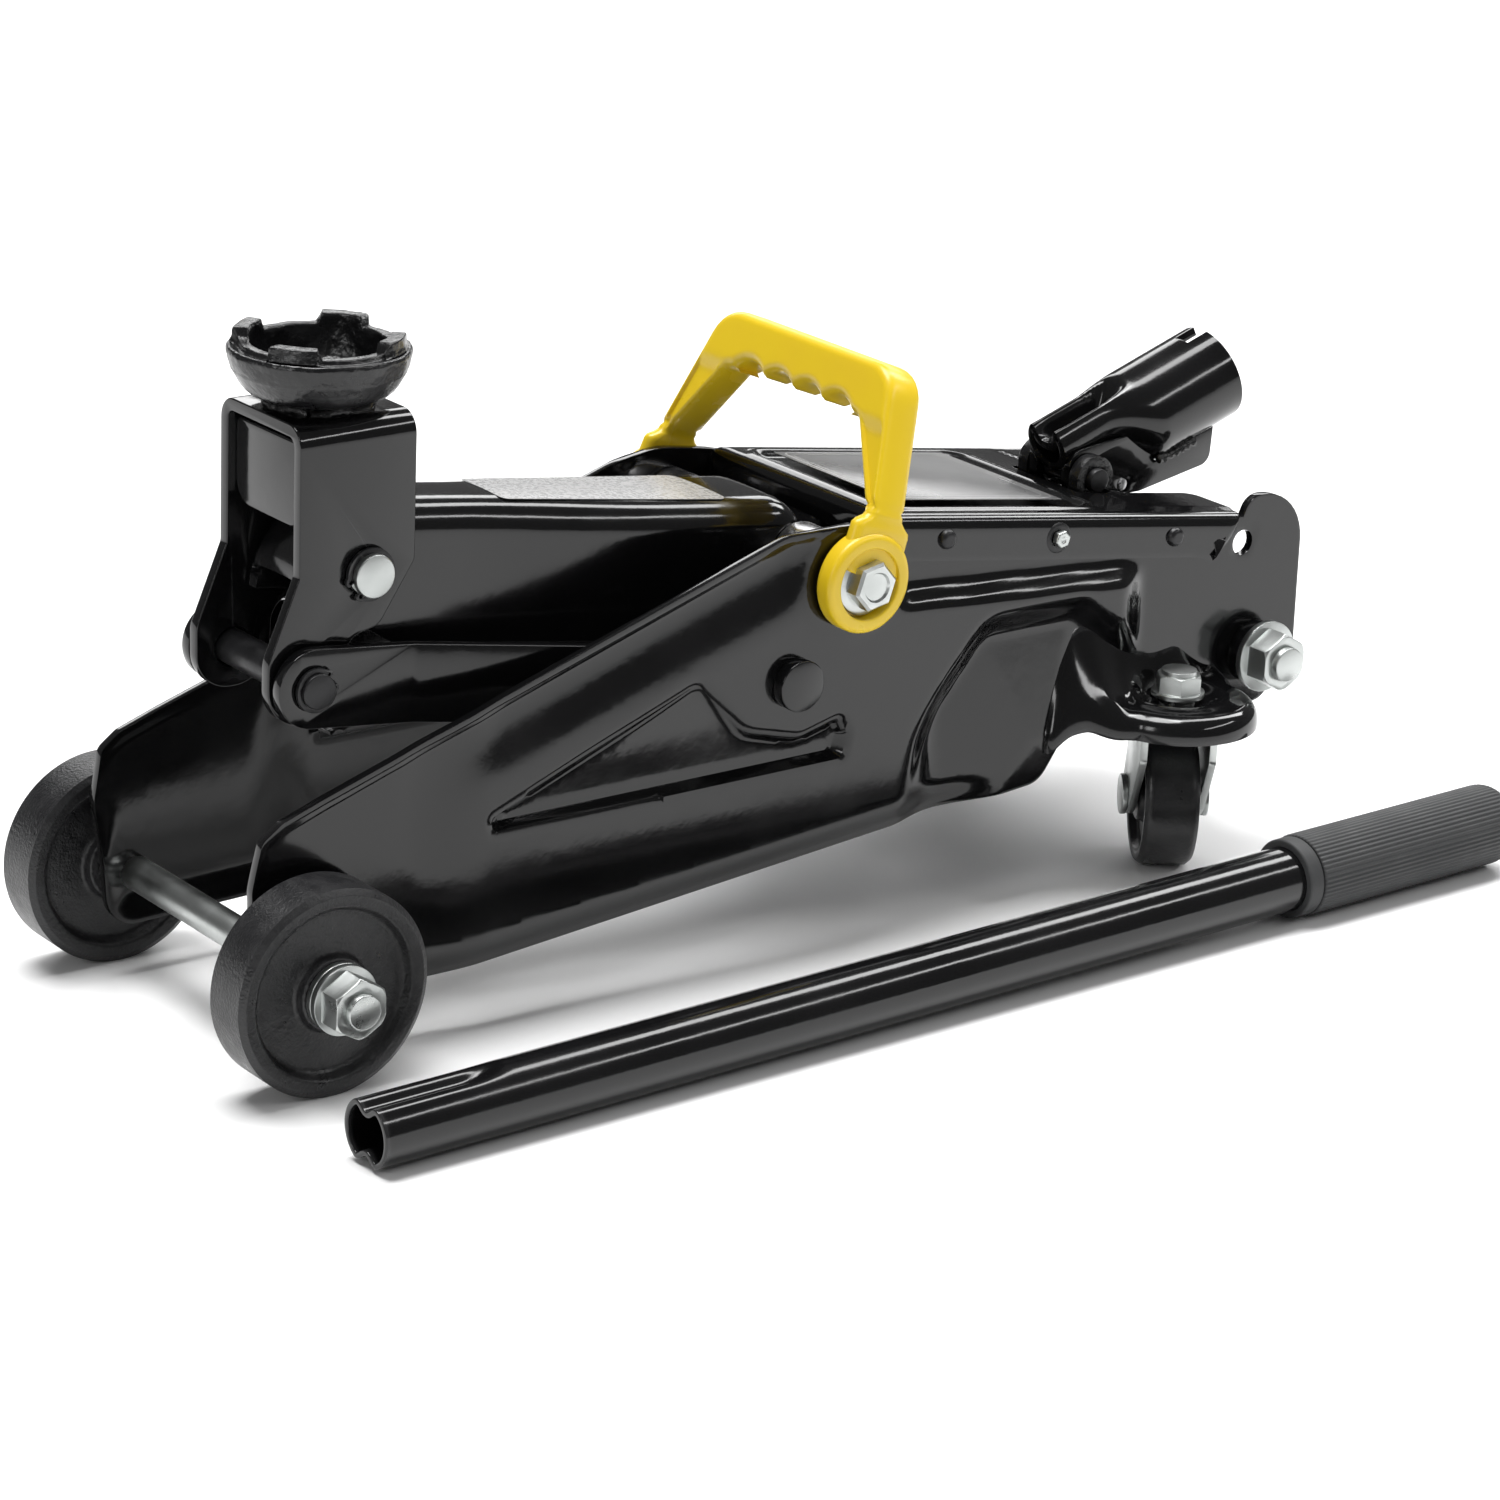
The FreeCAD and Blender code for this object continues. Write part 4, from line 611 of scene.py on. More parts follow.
# ---- top cover
def top_cover():
    half = COVER_HIGH.y
    skirt = 15.0
    cut_x, cut_half, slot_x, slot_half = 343.0, 21.0, 329.0, 19.0
    outline = rounded_path([
        (COVER_LOW.x, -half, 3.0), (COVER_HIGH.x, -half, 4.0), (COVER_HIGH.x, -cut_half, 5.0),
        (cut_x, -cut_half, 6.0), (cut_x, -slot_half, 0), (slot_x, -slot_half, 3.0),
        (slot_x, slot_half, 3.0), (cut_x, slot_half, 0), (cut_x, cut_half, 6.0),
        (COVER_HIGH.x, cut_half, 5.0), (COVER_HIGH.x, half, 4.0), (COVER_LOW.x, half, 3.0)], step=15.0)
    panel = rounded_path([(231.0, -36.0, 5.0), (318.0, -36.0, 5.0), (318.0, 36.0, 5.0), (231.0, 36.0, 5.0)])
    flat, faces = flat_sheet(outline, 1.9, (), (0.6, 1.3, 2.1, 3.1, 4.3, 5.6),
                             [(panel, (-5.5, -4.2, -3.2, -2.2, -1.2, -0.3, 0.6, 1.6), True)])
    x, y = flat[:, 0], flat[:, 1]
    within = inside(flat, panel)
    depth = edge_distance(flat, panel)
    signed = np.where(within, depth, -depth)
    rise = -1.3 * smooth_step(-1.2, 1.4, signed)
    rib = 0.8 * np.exp(-((signed + 3.0) / 1.3) ** 2)
    bend = 4.5
    drop = rolled(np.minimum(half - np.abs(y), x - COVER_LOW.x), bend)
    lip = 1.1 * (1 - smooth_step(0.0, 3.2, np.maximum(cut_x - x, 0))) * (np.abs(y) < half - 7)
    z = cover_z(x) + rise + rib - drop + lip * 0.6 - 0.6
    piece = make_mesh("top_cover_pressed", [Vector(p) for p in zip(x, y, z)], faces)
    front_skirt, levels, rear_reach = 11.0, 5, 22.0

    def on_rim(place):
        return abs(abs(place.y) - half) < 0.6 or abs(place.x - COVER_LOW.x) < 0.6

    def hang(place, level):
        at_front = place.x / MM < COVER_LOW.x + 1.0 and abs(place.y) / MM < half - 3.5
        reach = (front_skirt - bend) if at_front else (skirt - bend)
        place.z -= reach / levels * MM
        from_end = (COVER_HIGH.x - place.x / MM) / rear_reach
        if from_end < 1.0:
            place.x -= (1 - from_end) * 0.95 * (level + 1) * MM

    extend_rim(piece, on_rim, levels, hang)
    thicken(piece, 2.0, -1)
    round_edges(piece, 0.5, 60.0, 2)
    settle(piece, "frame", PAINT, ("top_cover",), sharp=55.0)


top_cover()


# ---- lift arm
def arm_half_width(along):
    return 17.4 + 4.6 * float(smooth_step(-ARM_LENGTH + 38.0, -ARM_LENGTH + 110.0, along))


def arm_top(along):
    return 20.0 - 2.5 * float(smooth_step(-ARM_LENGTH, -10.0, along))


def arm_place(along, y, up):
    """From distances along and above the arm's centre line, taken from its pivot, to the frame."""
    return (PIVOT.x + along * math.cos(ARM_REST) + up * math.sin(ARM_REST), y,
            PIVOT.z - along * math.sin(ARM_REST) + up * math.cos(ARM_REST))


def lift_arm():
    """Pressed channel, swept along the arm: a rounded top that runs down over the nose."""
    front = -ARM_LENGTH - 16.0
    rear = 12.0
    crown = 0.9
    count = 64
    stations = np.concatenate([front + 20.0 * (1 - np.cos(np.linspace(0, math.pi / 2, 10))),
                               np.linspace(front + 22.0, rear, 60)])
    rings = []
    for s in stations:
        half = arm_half_width(s)
        top = arm_top(s)
        nose = max(0.0, (front + 24.0 - s) / 24.0)
        top = -6.0 + (top + 6.0) * math.sqrt(max(1 - nose ** 2.2, 0.0))
        top -= 7.5 * float(smooth_step(-8.0, 10.0, s))
        bottom = -13.0 - 12.0 * float(smooth_step(front + 6.0, front + 40.0, s))
        bottom -= 2.0 * float(smooth_step(-ARM_LENGTH + 40.0, -40.0, s))
        bottom -= 22.0 * float(smooth_step(-30.0, -2.0, s)) - 34.0 * float(smooth_step(4.0, rear + 8.0, s))
        corner = min(9.0, (top - bottom) / 2.2, half - 2.0)
        profile = rounded_path([(-half, bottom, 0), (-half, top - 0.01, corner), (half, top - 0.01, corner),
                                (half, bottom, 0)], closed=False, step=9.0)
        left = spread(profile, 3.4, closed=False)
        arc = [0.0]
        for a, b in zip(left, left[1:]):
            arc.append(arc[-1] + math.dist(a, b))
        ring = []
        for k in range(count + 1):
            want = arc[-1] * k / count
            i = max(j for j in range(len(arc)) if arc[j] <= want + 1e-9)
            i = min(i, len(left) - 2)
            t = (want - arc[i]) / max(arc[i + 1] - arc[i], 1e-9)
            y = left[i][0] + (left[i + 1][0] - left[i][0]) * t
            z = left[i][1] + (left[i + 1][1] - left[i][1]) * t
            z += crown * (1 - (y / half) ** 2) * float(smooth_step(top - 8.0, top, z)) - crown
            ring.append(arm_place(s, y, z))
        rings.append(ring)
    verts, faces = sweep(rings, closed_ring=False, caps=(False, False))
    piece = make_mesh("lift_arm_pressed", verts, faces)
    face_up(piece, lambda face: abs(face.center.y) < 0.008)
    thicken(piece, 4.0, -1)
    round_edges(piece, 0.7, 55.0, 2)
    settle(piece, "lift_arm", PAINT, ("lift_arm",), sharp=45.0)


lift_arm()


# ---- saddle and its bracket
def saddle():
    base = low("saddle").z
    lugs_top = high("saddle").z
    centre = (low("saddle") + high("saddle")) / 2
    rim_radius = (high("saddle").x - low("saddle").x) / 2
    lug_height = 3.4
    rim = lugs_top - lug_height
    ring_inner = rim_radius - 7.2
    ring_outer = ring_inner + 3.2
    profile = rounded_path([
        (0.5, base, 0), (12.5, base, 1.0), (14.5, base + 1.2, 2.0), (rim_radius - 5.5, rim - 15.0, 8.0),
        (rim_radius - 1.0, rim - 7.0, 9.0), (rim_radius, rim - 2.6, 1.0), (rim_radius - 0.6, rim - 0.9, 0.9),
        (ring_outer + 0.6, rim - 1.9, 1.0), (ring_outer, rim, 0.8), (ring_inner, rim, 0.9),
        (ring_inner - 1.5, base + 8.0, 3.5), (0.5, base + 7.6, 0)], closed=False, step=15.0)
    profile = spread(profile, 1.2, closed=False)

    def cast(radius, along, angle):
        turn = (math.degrees(angle) - 40.0 + 45.0) % 90.0 - 45.0
        lug = 1 - float(smooth_step(17.0, 19.5, abs(turn)))
        wall = ring_inner - 0.6 < radius < ring_outer + 1.4 and along > rim - 2.2
        if wall:
            along += lug * lug_height * min(1.0, (along - rim + 2.2) / 2.0) * 0.94
            if radius > (ring_inner + ring_outer) / 2:
                radius += lug * 1.6
        spot = Vector((radius * math.cos(angle), radius * math.sin(angle), along))
        rough = 0.34 * noise.noise(spot * 0.22) + 0.16 * noise.noise(spot * 0.7)
        if radius > rim_radius - 1.5:
            rough -= 0.25
        return radius + rough, min(along + rough * 0.6, lugs_top)

    verts, faces = lathe(profile, (centre.x, centre.y, 0), (0, 0, 1), 160, cast)
    piece = make_mesh("saddle_cast", verts, faces)
    settle(piece, "saddle_bracket", CAST_PAINT, ("saddle",), sharp=60.0)
    path = [(centre.x + (14.6 + 0.7 * math.sin(5 * a)) * math.cos(a),
             (14.6 + 0.7 * math.sin(5 * a)) * math.sin(a), base + 0.6 + 0.7 * math.sin(7 * a + 1.0))
            for a in np.linspace(0, 2 * math.pi, 90)]
    verts, faces = bead(path, 2.5, 3.0)
    weld = make_mesh("saddle_weld", verts, faces)
    settle(weld, "saddle_bracket", WELD, sharp=70.0)


saddle()
bracket = refined("saddle_bracket", "saddle_bracket", PAINT, 0.9, 32.0, 3)
BRACKET_RAISE = 2.3     # the photo shows the bracket's top nearer to the saddle than the CAD has it
for vertex in bracket.data.vertices:
    vertex.co.z += BRACKET_RAISE * MM * float(smooth_step(170.0, 181.0, vertex.co.z / MM))
refined("bracket_front_plate", "saddle_bracket", PAINT, 0.8, 32.0, 3)


# ---- wheels
def wheel(node, body, sign):
    """Cast wheel: turned tread, a lip round the face, a rough web and a raised hub."""
    width = WHEEL_OUTER - WHEEL_INNER
    radius = WHEEL_RADIUS
    half = [(5.7, width / 2, 0), (11.5, width / 2, 1.0), (12.5, width / 2 - 3.6, 1.5),
            (radius - 7.5, width / 2 - 4.2, 2.2), (radius - 5.6, width / 2 - 0.6, 1.6),
            (radius - 2.0, width / 2 - 0.2, 0.8), (radius, width / 2 - 1.6, 0.9)]
    side = rounded_path(half, closed=False, step=15.0)
    profile = side + [(r, -h) for r, h in reversed(side)]
    profile = spread(profile, 1.3, closed=False)

    def cast(r, along, angle):
        spot = Vector((r * math.cos(angle), r * math.sin(angle), along)) * 0.45
        face = smooth_step(radius - 1.6, radius - 5.0, r) if r < radius - 1.6 else 0.0
        rough = (0.12 * noise.noise(spot) + 0.16 * noise.noise(spot * 3.1)) * float(face)
        return r, along + rough

    middle = sign * (WHEEL_OUTER + WHEEL_INNER) / 2
    verts, faces = lathe(profile, (0, middle, WHEEL_RADIUS), (0, 1, 0), 128, cast)
    piece = make_mesh(node + "_cast", verts, faces)
    settle(piece, body, WHEEL_IRON, (node,), sharp=50.0)


wheel("front_wheel_left", "front_wheel_left", -1)
wheel("front_wheel_right", "front_wheel_right", 1)


def caster_wheel(side):
    node = "caster_wheel_" + side
    centre = (low(node) + high(node)) / 2
    axis = Vector(JOINTS["caster_%s_roll" % side]["axis"])
    radius = (high(node).z - low(node).z) / 2
    half_width = 9.5
    half = [(4.1, half_width, 0), (8.5, half_width, 0.8), (9.6, half_width - 3.0, 1.0),
            (radius - 5.0, half_width - 3.2, 1.2), (radius - 3.8, half_width - 0.2, 1.0),
            (radius - 1.5, half_width - 0.1, 0.6), (radius, half_width - 2.0, 1.2)]
    edge = rounded_path(half, closed=False, step=15.0)
    profile = spread(edge + [(r, -h) for r, h in reversed(edge)], 1.3, closed=False)
    verts, faces = lathe(profile, centre, axis, 112)
    piece = make_mesh(node + "_cast", verts, faces)
    settle(piece, "caster_wheel_" + side, CASTER_IRON, (node,), sharp=50.0)


caster_wheel("left")
caster_wheel("right")


# ---- caster ears
def caster_ear(side, sign):
    """Deep-drawn shelf that sweeps out of the side plate like a fender, with a thick rolled lip
    and a sunk round seat for the kingpin."""
    node = "caster_bracket_" + side
    pin = joint_place("caster_%s_swivel" % side)
    reach = 28.0
    front = pin.x - reach - 25.0
    seat_at = (pin.x, abs(pin.y) - REAR_HALF)
    nose = [(seat_at[0] + reach * math.cos(a), seat_at[1] + reach * math.sin(a), 0)
            for a in np.radians(np.arange(158.0, -8.0, -6.0))]
    outline = rounded_path([(front, 0.3, 0), (front + 2.0, 9.0, 4.0), (front + 15.0, 14.0, 9.0)] + nose
                           + [(pin.x + reach + 1.0, 0.3, 0)], step=6.0)
    flat, faces = flat_sheet(outline, 1.6, [(*seat_at, 6.4)], (0.5, 1.1, 1.8, 2.7, 3.8, 5.0, 6.4))
    x, d = flat[:, 0], flat[:, 1]
    rim = edge_distance(flat, outline[1:-1], closed=False)
    seat = np.hypot(x - seat_at[0], d - seat_at[1])
    z = np.full(len(flat), EAR_TOP)
    z -= rolled(rim, 6.4)
    z -= 1.6 * (1 - smooth_step(11.0, 14.5, seat))
    z += 0.9 * np.exp(-((seat - 17.0) / 2.6) ** 2) * smooth_step(5.0, 9.0, rim)
    sweep_reach = 8.0 + 18.0 * (1 - smooth_step(front + 10.0, pin.x - 2.0, x))
    sweep_height = 13.0 + 15.0 * np.exp(-((x - front - 18.0) / 17.0) ** 2)
    sweep_height *= 1 - 0.8 * smooth_step(pin.x + 8.0, pin.x + reach, x)
    z += sweep_height * np.clip(1 - d / sweep_reach, 0, 1) ** 2.0 * smooth_step(front - 4.0, front + 10.0, x)
    z -= 9.0 * (1 - smooth_step(front, front + 26.0, x))
    verts = [Vector((a, sign * (REAR_HALF - 0.6 + b), c)) for a, b, c in zip(x, d, z)]
    piece = make_mesh(node + "_drawn", verts, faces)
    kingpin_clear, lip_step = 9.0, 1.2

    def on_rim(place):
        from_pin = math.dist((place.x, abs(place.y)), (pin.x, abs(pin.y)))
        return abs(place.y) > REAR_HALF + 0.2 and from_pin > kingpin_clear

    def hang(place, level):
        place.z -= lip_step * MM

    extend_rim(piece, on_rim, 2, hang)
    thicken(piece, 2.6, -1)
    round_edges(piece, 0.7, 60.0, 3)
    settle(piece, "frame", PAINT, (node,), sharp=60.0)


caster_ear("left", -1)
caster_ear("right", 1)


# ---- handle socket
def socket_tube():
    """Tube for the bar: full round at its mouth, pinched to a trough at its lower end."""
    lean = math.radians(19.0)
    along = Vector((math.cos(lean), 0, math.sin(lean)))
    up = Vector((-math.sin(lean), 0, math.cos(lean)))
    start = SOCKET_PIVOT + Vector((-1.0, 0, 4.0))
    outer, crimp, length, wall = 17.0, 9.5, 68.0, 3.0
    notch_start, notch_half = 59.0, 3.4
    rings = []
    around = 96
    steps = [-6.0, -5.4, -4.0] + list(np.arange(-2.0, 58.0, 1.5))
    steps += [58.6, notch_start, 61.0, 63.0, 65.0, 67.0, 67.6, length]
    for s in steps:
        full = float(smooth_step(13.0, 34.0, s))
        half_width = height = crimp + (outer - crimp) * full
        middle = outer - height
        trough = 11.5 * (1 - float(smooth_step(16.0, 30.0, s)))
        trough *= 0.7 + 0.3 * float(smooth_step(-5.0, 0.0, s))
        ring = []
        for k in range(around):
            a = 2 * math.pi * k / around
            y = half_width * math.sin(a)
            h = middle + height * math.cos(a)
            h -= trough * math.exp(-(y / 4.6) ** 4) * max(math.cos(a), 0.0) ** 0.5
            ring.append(start + along * s + up * h + Vector((0, y, 0)))
        rings.append(ring)
    verts, faces = sweep(rings, caps=(False, False))
    kept = []
    for face in faces:
        centre = sum((Vector(verts[i]) for i in face), Vector()) / len(face)
        s = (centre - start).dot(along)
        h = (centre - start).dot(up)
        if not (s > notch_start and abs(centre.y) < notch_half and h > 0):
            kept.append(face)
    piece = make_mesh("socket_tube_formed", verts, kept)
    outward = sum(p.normal.dot(p.center / MM - (start + along * ((p.center / MM - start).dot(along))))
                  for p in piece.data.polygons)
    if outward < 0:
        piece.data.flip_normals()
    thicken(piece, wall, -1)
    round_edges(piece, 0.5, 55.0, 2)
    settle(piece, "handle_socket", PAINT, ("socket_tube",), sharp=50.0)
    for sign in (-1, 1):
        path = [start + along * s + up * (-9.5 - 4.2 * float(smooth_step(20.0, 36.0, s)))
                + Vector((0, sign * 11.2, 0)) for s in np.linspace(30.0, 48.0, 24)]
        verts, faces = bead(path, 2.0, 7.0 + sign)
        weld = make_mesh("socket_weld_%s" % ("left" if sign < 0 else "right"), verts, faces)
        settle(weld, "handle_socket", WELD, sharp=70.0)


socket_tube()
refined("socket_yoke", "handle_socket", PAINT, 0.7)


# ---- carry handle
def carry_handle():
    """Moulded loop: a finger-grip bar and two ribbed legs with shouldered rings."""
    lean = math.radians(21.0)
    ring_outer, ring_inner, ring_radius = 60.5, 53.0, 16.5
    top, bar = 67.5, 13.0
    top_half = 45.0
    outer = [(ring_outer - 0.4, 2.0, 0), (ring_outer - 2.0, 22.0, 6.0), (top_half, top, 13.0),
             (-top_half, top, 13.0), (-ring_outer + 2.0, 22.0, 6.0), (-ring_outer + 0.4, 2.0, 0),
             (-ring_inner - 0.4, 2.0, 0), (-ring_inner, 22.0, 6.0), (-top_half + 11.5, top - bar - 3.2, 5.0)]
    bumps = []
    for k in range(49):
        y = -top_half + 14.0 + (2 * top_half - 28.0) * k / 48
        wave = abs(math.sin(math.pi * 4 * k / 48))
        bumps.append((y, top - bar - 5.0 + 3.6 * wave ** 0.8, 0))
    inner = [(top_half - 11.5, top - bar - 3.2, 5.0), (ring_inner, 22.0, 6.0), (ring_inner + 0.4, 2.0, 0)]
    outline = rounded_path(outer + bumps + inner, step=12.0)
    flat, faces = flat_sheet(outline, 1.5, (), (0.35, 0.8, 1.3, 1.9, 2.6, 3.3, 4.2))
    y, v = flat[:, 0], flat[:, 1]
    rim = edge_distance(flat, outline)
    legs = 1 - smooth_step(top - bar - 10.0, top - bar - 3.0, v)
    wide = 7.5 + 4.4 * (1 - smooth_step(17.5, 21.5, v))
    wide -= 0.9 * (np.abs(v - 24.0) < 1.1)
    channel = 1.6 * smooth_step(1.6, 2.6, rim) * legs * smooth_step(23.0, 26.0, v)
    depth = wide - rolled(rim, 3.2) - channel
    front = [Vector((h, a, b)) for a, b, h in zip(y, v, depth)]
    back = [Vector((-h, a, b)) for a, b, h in zip(y, v, depth)]
    loops = [two_skins(front, back, faces)]
    for sign in (-1, 1):
        profile = rounded_path([
            (8.3, 0.0, 0), (ring_radius, 0.0, 1.5), (ring_radius, 7.5, 2.2), (11.6, 7.5, 0.7),
            (11.6, 3.5, 0.4), (8.3, 3.5, 0), (8.3, 0.0, 0)], closed=False, step=15.0)
        loops.append(lathe(spread(profile, 1.6, closed=False), (0, sign * ring_inner, 0), (0, sign, 0), 96))
    verts, faces = join(loops)
    turn = Matrix.Rotation(lean, 3, "Y")
    verts = [turn @ Vector(p) + PIVOT for p in verts]
    piece = make_mesh("carry_handle_moulded", verts, faces)
    settle(piece, "carry_handle", YELLOW, ("carry_handle",), sharp=48.0)


carry_handle()


# ---- loose handle bar
def bar_frame():
    """Where the bar lies, from lines with its front end as origin, and its sizes.  The thicker grip
    lifts the bar's rear end off the floor."""
    radius, grip, length = 11.0, 14.0, 375.0
    yaw = math.radians(1.46)
    pitch = -math.atan((grip - radius) / length)
    place = Matrix.Translation((-20.0, -120.3, 0))
    place = place @ Matrix.Rotation(yaw, 4, "Z") @ Matrix.Rotation(pitch, 4, "Y")
    return place, radius, grip, length


def handle_bar():
    place, radius, grip, length = bar_frame()
    around = 96
    rings = []
    for s in [0.0, 0.4, 1.2] + list(np.arange(3.0, 64.0, 1.6)) + list(np.linspace(66.0, length, 40)):
        press = 4.0 * (1 - float(smooth_step(34.0, 50.0, s)))
        ring = []
        for k in range(around):
            a = 2 * math.pi * k / around
            y = radius * math.sin(a)
            z = radius * math.cos(a)
            dent = press * math.exp(-(y / 3.4) ** 2)
            z -= math.copysign(dent, z)
            ring.append((s, y, z + radius))
        rings.append(ring)
    verts, faces = sweep(rings, caps=(False, False))
    piece = make_mesh("bar_tube_formed", [place @ Vector(v) for v in verts], faces)
    piece.data.update()
    face_up(piece, lambda face: face.center.z / MM > radius * 1.4)
    thicken(piece, 1.8, -1)
    round_edges(piece, 0.4, 60.0, 2)
    settle(piece, "handle_bar", PAINT, ("bar_tube",), sharp=50.0)

    collar = rounded_path([(radius + 0.1, length - 6.0, 0), (13.5, length - 6.0, 0.8), (13.5, length, 0.5),
                           (radius + 0.1, length, 0)], closed=False, step=15.0)
    verts, faces = lathe(collar, (0, 0, radius), (1, 0, 0), 96)
    ring = make_mesh("bar_collar_moulded", [place @ v for v in verts], faces)
    settle(ring, "handle_bar", RUBBER, ("bar_collar",), sharp=40.0)

    grip_length = 96.0
    end = length + 0.5 + grip_length
    start = length + 0.5
    profile = rounded_path([(0.4, start, 0), (grip, start, 0.8), (grip, end, 7.0), (0.4, end, 0)],
                           closed=False, step=9.0)
    profile = spread(profile, 4.0, closed=False)

    def ribbed(r, along, angle):
        depth = 0.32 * (0.5 + 0.5 * math.cos(angle * 56)) * float(smooth_step(8.0, grip, r))
        return r - depth, along

    verts, faces = lathe(profile, (0, 0, radius), (1, 0, 0), 448, ribbed)
    sleeve = make_mesh("bar_grip_moulded", [place @ v for v in verts], faces)
    settle(sleeve, "handle_bar", RUBBER, ("bar_grip",), sharp=60.0)


handle_bar()


# ---- return springs
def spring(side, sign):
    """Coiled tension spring between the pump block and the ram head, its ends drawn in to its axis."""
    box_low, box_high = low("return_springs"), high("return_springs")
    start_x, end_x = box_high.x, box_low.x
    middle_z = (box_low.z + box_high.z) / 2
    middle_y = sign * (box_high.y - (box_high.z - box_low.z) / 2)
    radius, wire = 3.7, 0.75
    coils = 26
    points = []
    for k in range(coils * 14 + 1):
        t = k / (coils * 14)
        a = 2 * math.pi * coils * t
        grow = min(1.0, t * 30, (1 - t) * 30)
        points.append(Vector((start_x + (end_x - start_x) * t, middle_y + radius * grow * math.cos(a),
                              middle_z + radius * grow * math.sin(a))))
    rings = []
    for k, point in enumerate(points):
        way = (points[min(k + 1, len(points) - 1)] - points[max(k - 1, 0)]).normalized()
        inward = Vector((0, point.y - middle_y, point.z - middle_z))
        if inward.length < 0.3:
            inward = Vector((0, 0, 1))
        side_way = way.cross(inward).normalized()
        other = way.cross(side_way)
        rings.append([point + side_way * (wire * math.cos(t)) + other * (wire * math.sin(t))
                      for t in [2 * math.pi * i / 7 for i in range(7)]])
    verts, faces = sweep(rings)
    piece = make_mesh("return_spring_" + side, verts, faces)
    mesh = piece.data
    mesh.polygons.foreach_set("use_smooth", [True] * len(mesh.polygons))
    mesh.materials.append(STEEL)
    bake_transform(piece)
    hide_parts("return_springs")


spring("left", -1)
spring("right", 1)


# ---- plain machined pieces
FINISHED = {
    "frame": [("front_axle", "zinc", ZINC), ("axle_washers", "zinc", ZINC), ("axle_nuts", "zinc", ZINC),
              ("axle_spacers", "bare_steel", STEEL), ("arm_pivot_shaft", "bare_steel", STEEL),
              ("arm_pivot_bushes", "bare_steel", STEEL), ("link_pivot_pins", "black_oxide", PAINT),
              ("rear_cross_bolt", "zinc", ZINC), ("rear_bolt_nuts", "zinc", ZINC),
              ("rear_spacers", "black_paint", PAINT), ("pump_block", "cast_iron", CAST_PAINT),
              ("main_cylinder", "black_paint", PAINT), ("reservoir_tube", "black_paint", PAINT),
              ("cylinder_gland", "black_paint", PAINT), ("filler_plug", "black_oxide", OXIDE),
              ("pump_barrel", "bare_steel", STEEL), ("socket_pivot_pin", "bare_steel", OXIDE),
              ("caster_races", "zinc", ZINC), ("cover_label", "label", LABEL)],
    "lift_arm": [("push_pin", "bare_steel", STEEL), ("saddle_pin", "zinc", ZINC),
                 ("saddle_pin_clips", "black_oxide", OXIDE)],
    "links": [("link_bar_left", "black_paint", PAINT), ("link_bar_right", "black_paint", PAINT),
              ("link_pin", "black_oxide", OXIDE), ("link_pin_clips", "black_oxide", OXIDE)],
    "ram": [("ram_head", "black_paint", PAINT), ("ram_rod", "bare_steel", STEEL),
            ("ram_piston", "bare_steel", STEEL)],
    "pump_plunger": [("pump_plunger", "bare_steel", STEEL)],
    "handle_socket": [("pump_roller", "bare_steel", STEEL)],
    "release_valve": [("release_valve", "bare_steel", STEEL)],
    "caster_fork_left": [("caster_fork_left", "zinc", ZINC), ("caster_kingpin_left", "zinc", ZINC),
                         ("caster_axle_left", "zinc", ZINC)],
    "caster_fork_right": [("caster_fork_right", "zinc", ZINC), ("caster_kingpin_right", "zinc", ZINC),
                          ("caster_axle_right", "zinc", ZINC)],
}
for body, pieces in FINISHED.items():
    for node, slot_name, material in pieces:
        refined(node, body, material, 0.35)


def handle_bolts():
    """Flanged hexagon bolt with a dished end in each ring seat of the carry handle."""
    outer = high("handle_bolts").y
    for side, sign in (("left", -1), ("right", 1)):
        seat = 53.0 + 3.6
        centre = Vector((PIVOT.x, 0, PIVOT.z))
        flange = rounded_path([(0.1, seat, 0), (10.8, seat, 0.5), (10.8, seat + 1.3, 0.6),
                               (8.4, seat + 2.0, 0.8), (6.0, seat + 2.2, 0)], closed=False, step=15.0)
        parts = [lathe(spread(flange, 1.2, closed=False), centre, (0, sign, 0), 64)]
        rings = []
        for along, size in ((seat + 1.0, 7.6), (outer - 1.2, 7.6), (outer - 0.2, 6.7), (outer - 0.2, 5.0),
                            (outer - 1.0, 4.4), (outer - 1.0, 0.4)):
            rings.append(ring_round_y(centre, sign * along, size, 24))
        for ring in rings[:3]:
            for k, point in enumerate(ring):
                turn = (k % 4) / 4 * math.pi / 3 - math.pi / 6
                scale = 0.94 / math.cos(turn)
                point.x = centre.x + (point.x - centre.x) * scale
                point.z = centre.z + (point.z - centre.z) * scale
        parts.append(sweep(rings))
        verts, faces = join(parts)
        bolt = make_mesh("handle_bolt_" + side, verts, faces)
        settle(bolt, "frame", ZINC, ("handle_bolts",), sharp=28.0)


handle_bolts()


def arm_label():
    """Blank pale label on top of the lift arm."""
    front, rear = -112.0, -26.0
    outline = rounded_path([(front, -12.5, 3.0), (rear, -15.5, 3.0), (rear, 15.5, 3.0), (front, 12.5, 3.0)])
    flat, faces = flat_sheet(outline, 3.0)
    verts = []
    for along, y in flat:
        z = arm_top(along) - 0.9 * (y / arm_half_width(along)) ** 2 + 0.02
        verts.append(arm_place(along, y, z))
    sticker = make_mesh("arm_label_blank", verts, faces)
    face_up(sticker)
    thicken(sticker, 0.15, 1)
    settle(sticker, "lift_arm", STICKER)


arm_label()


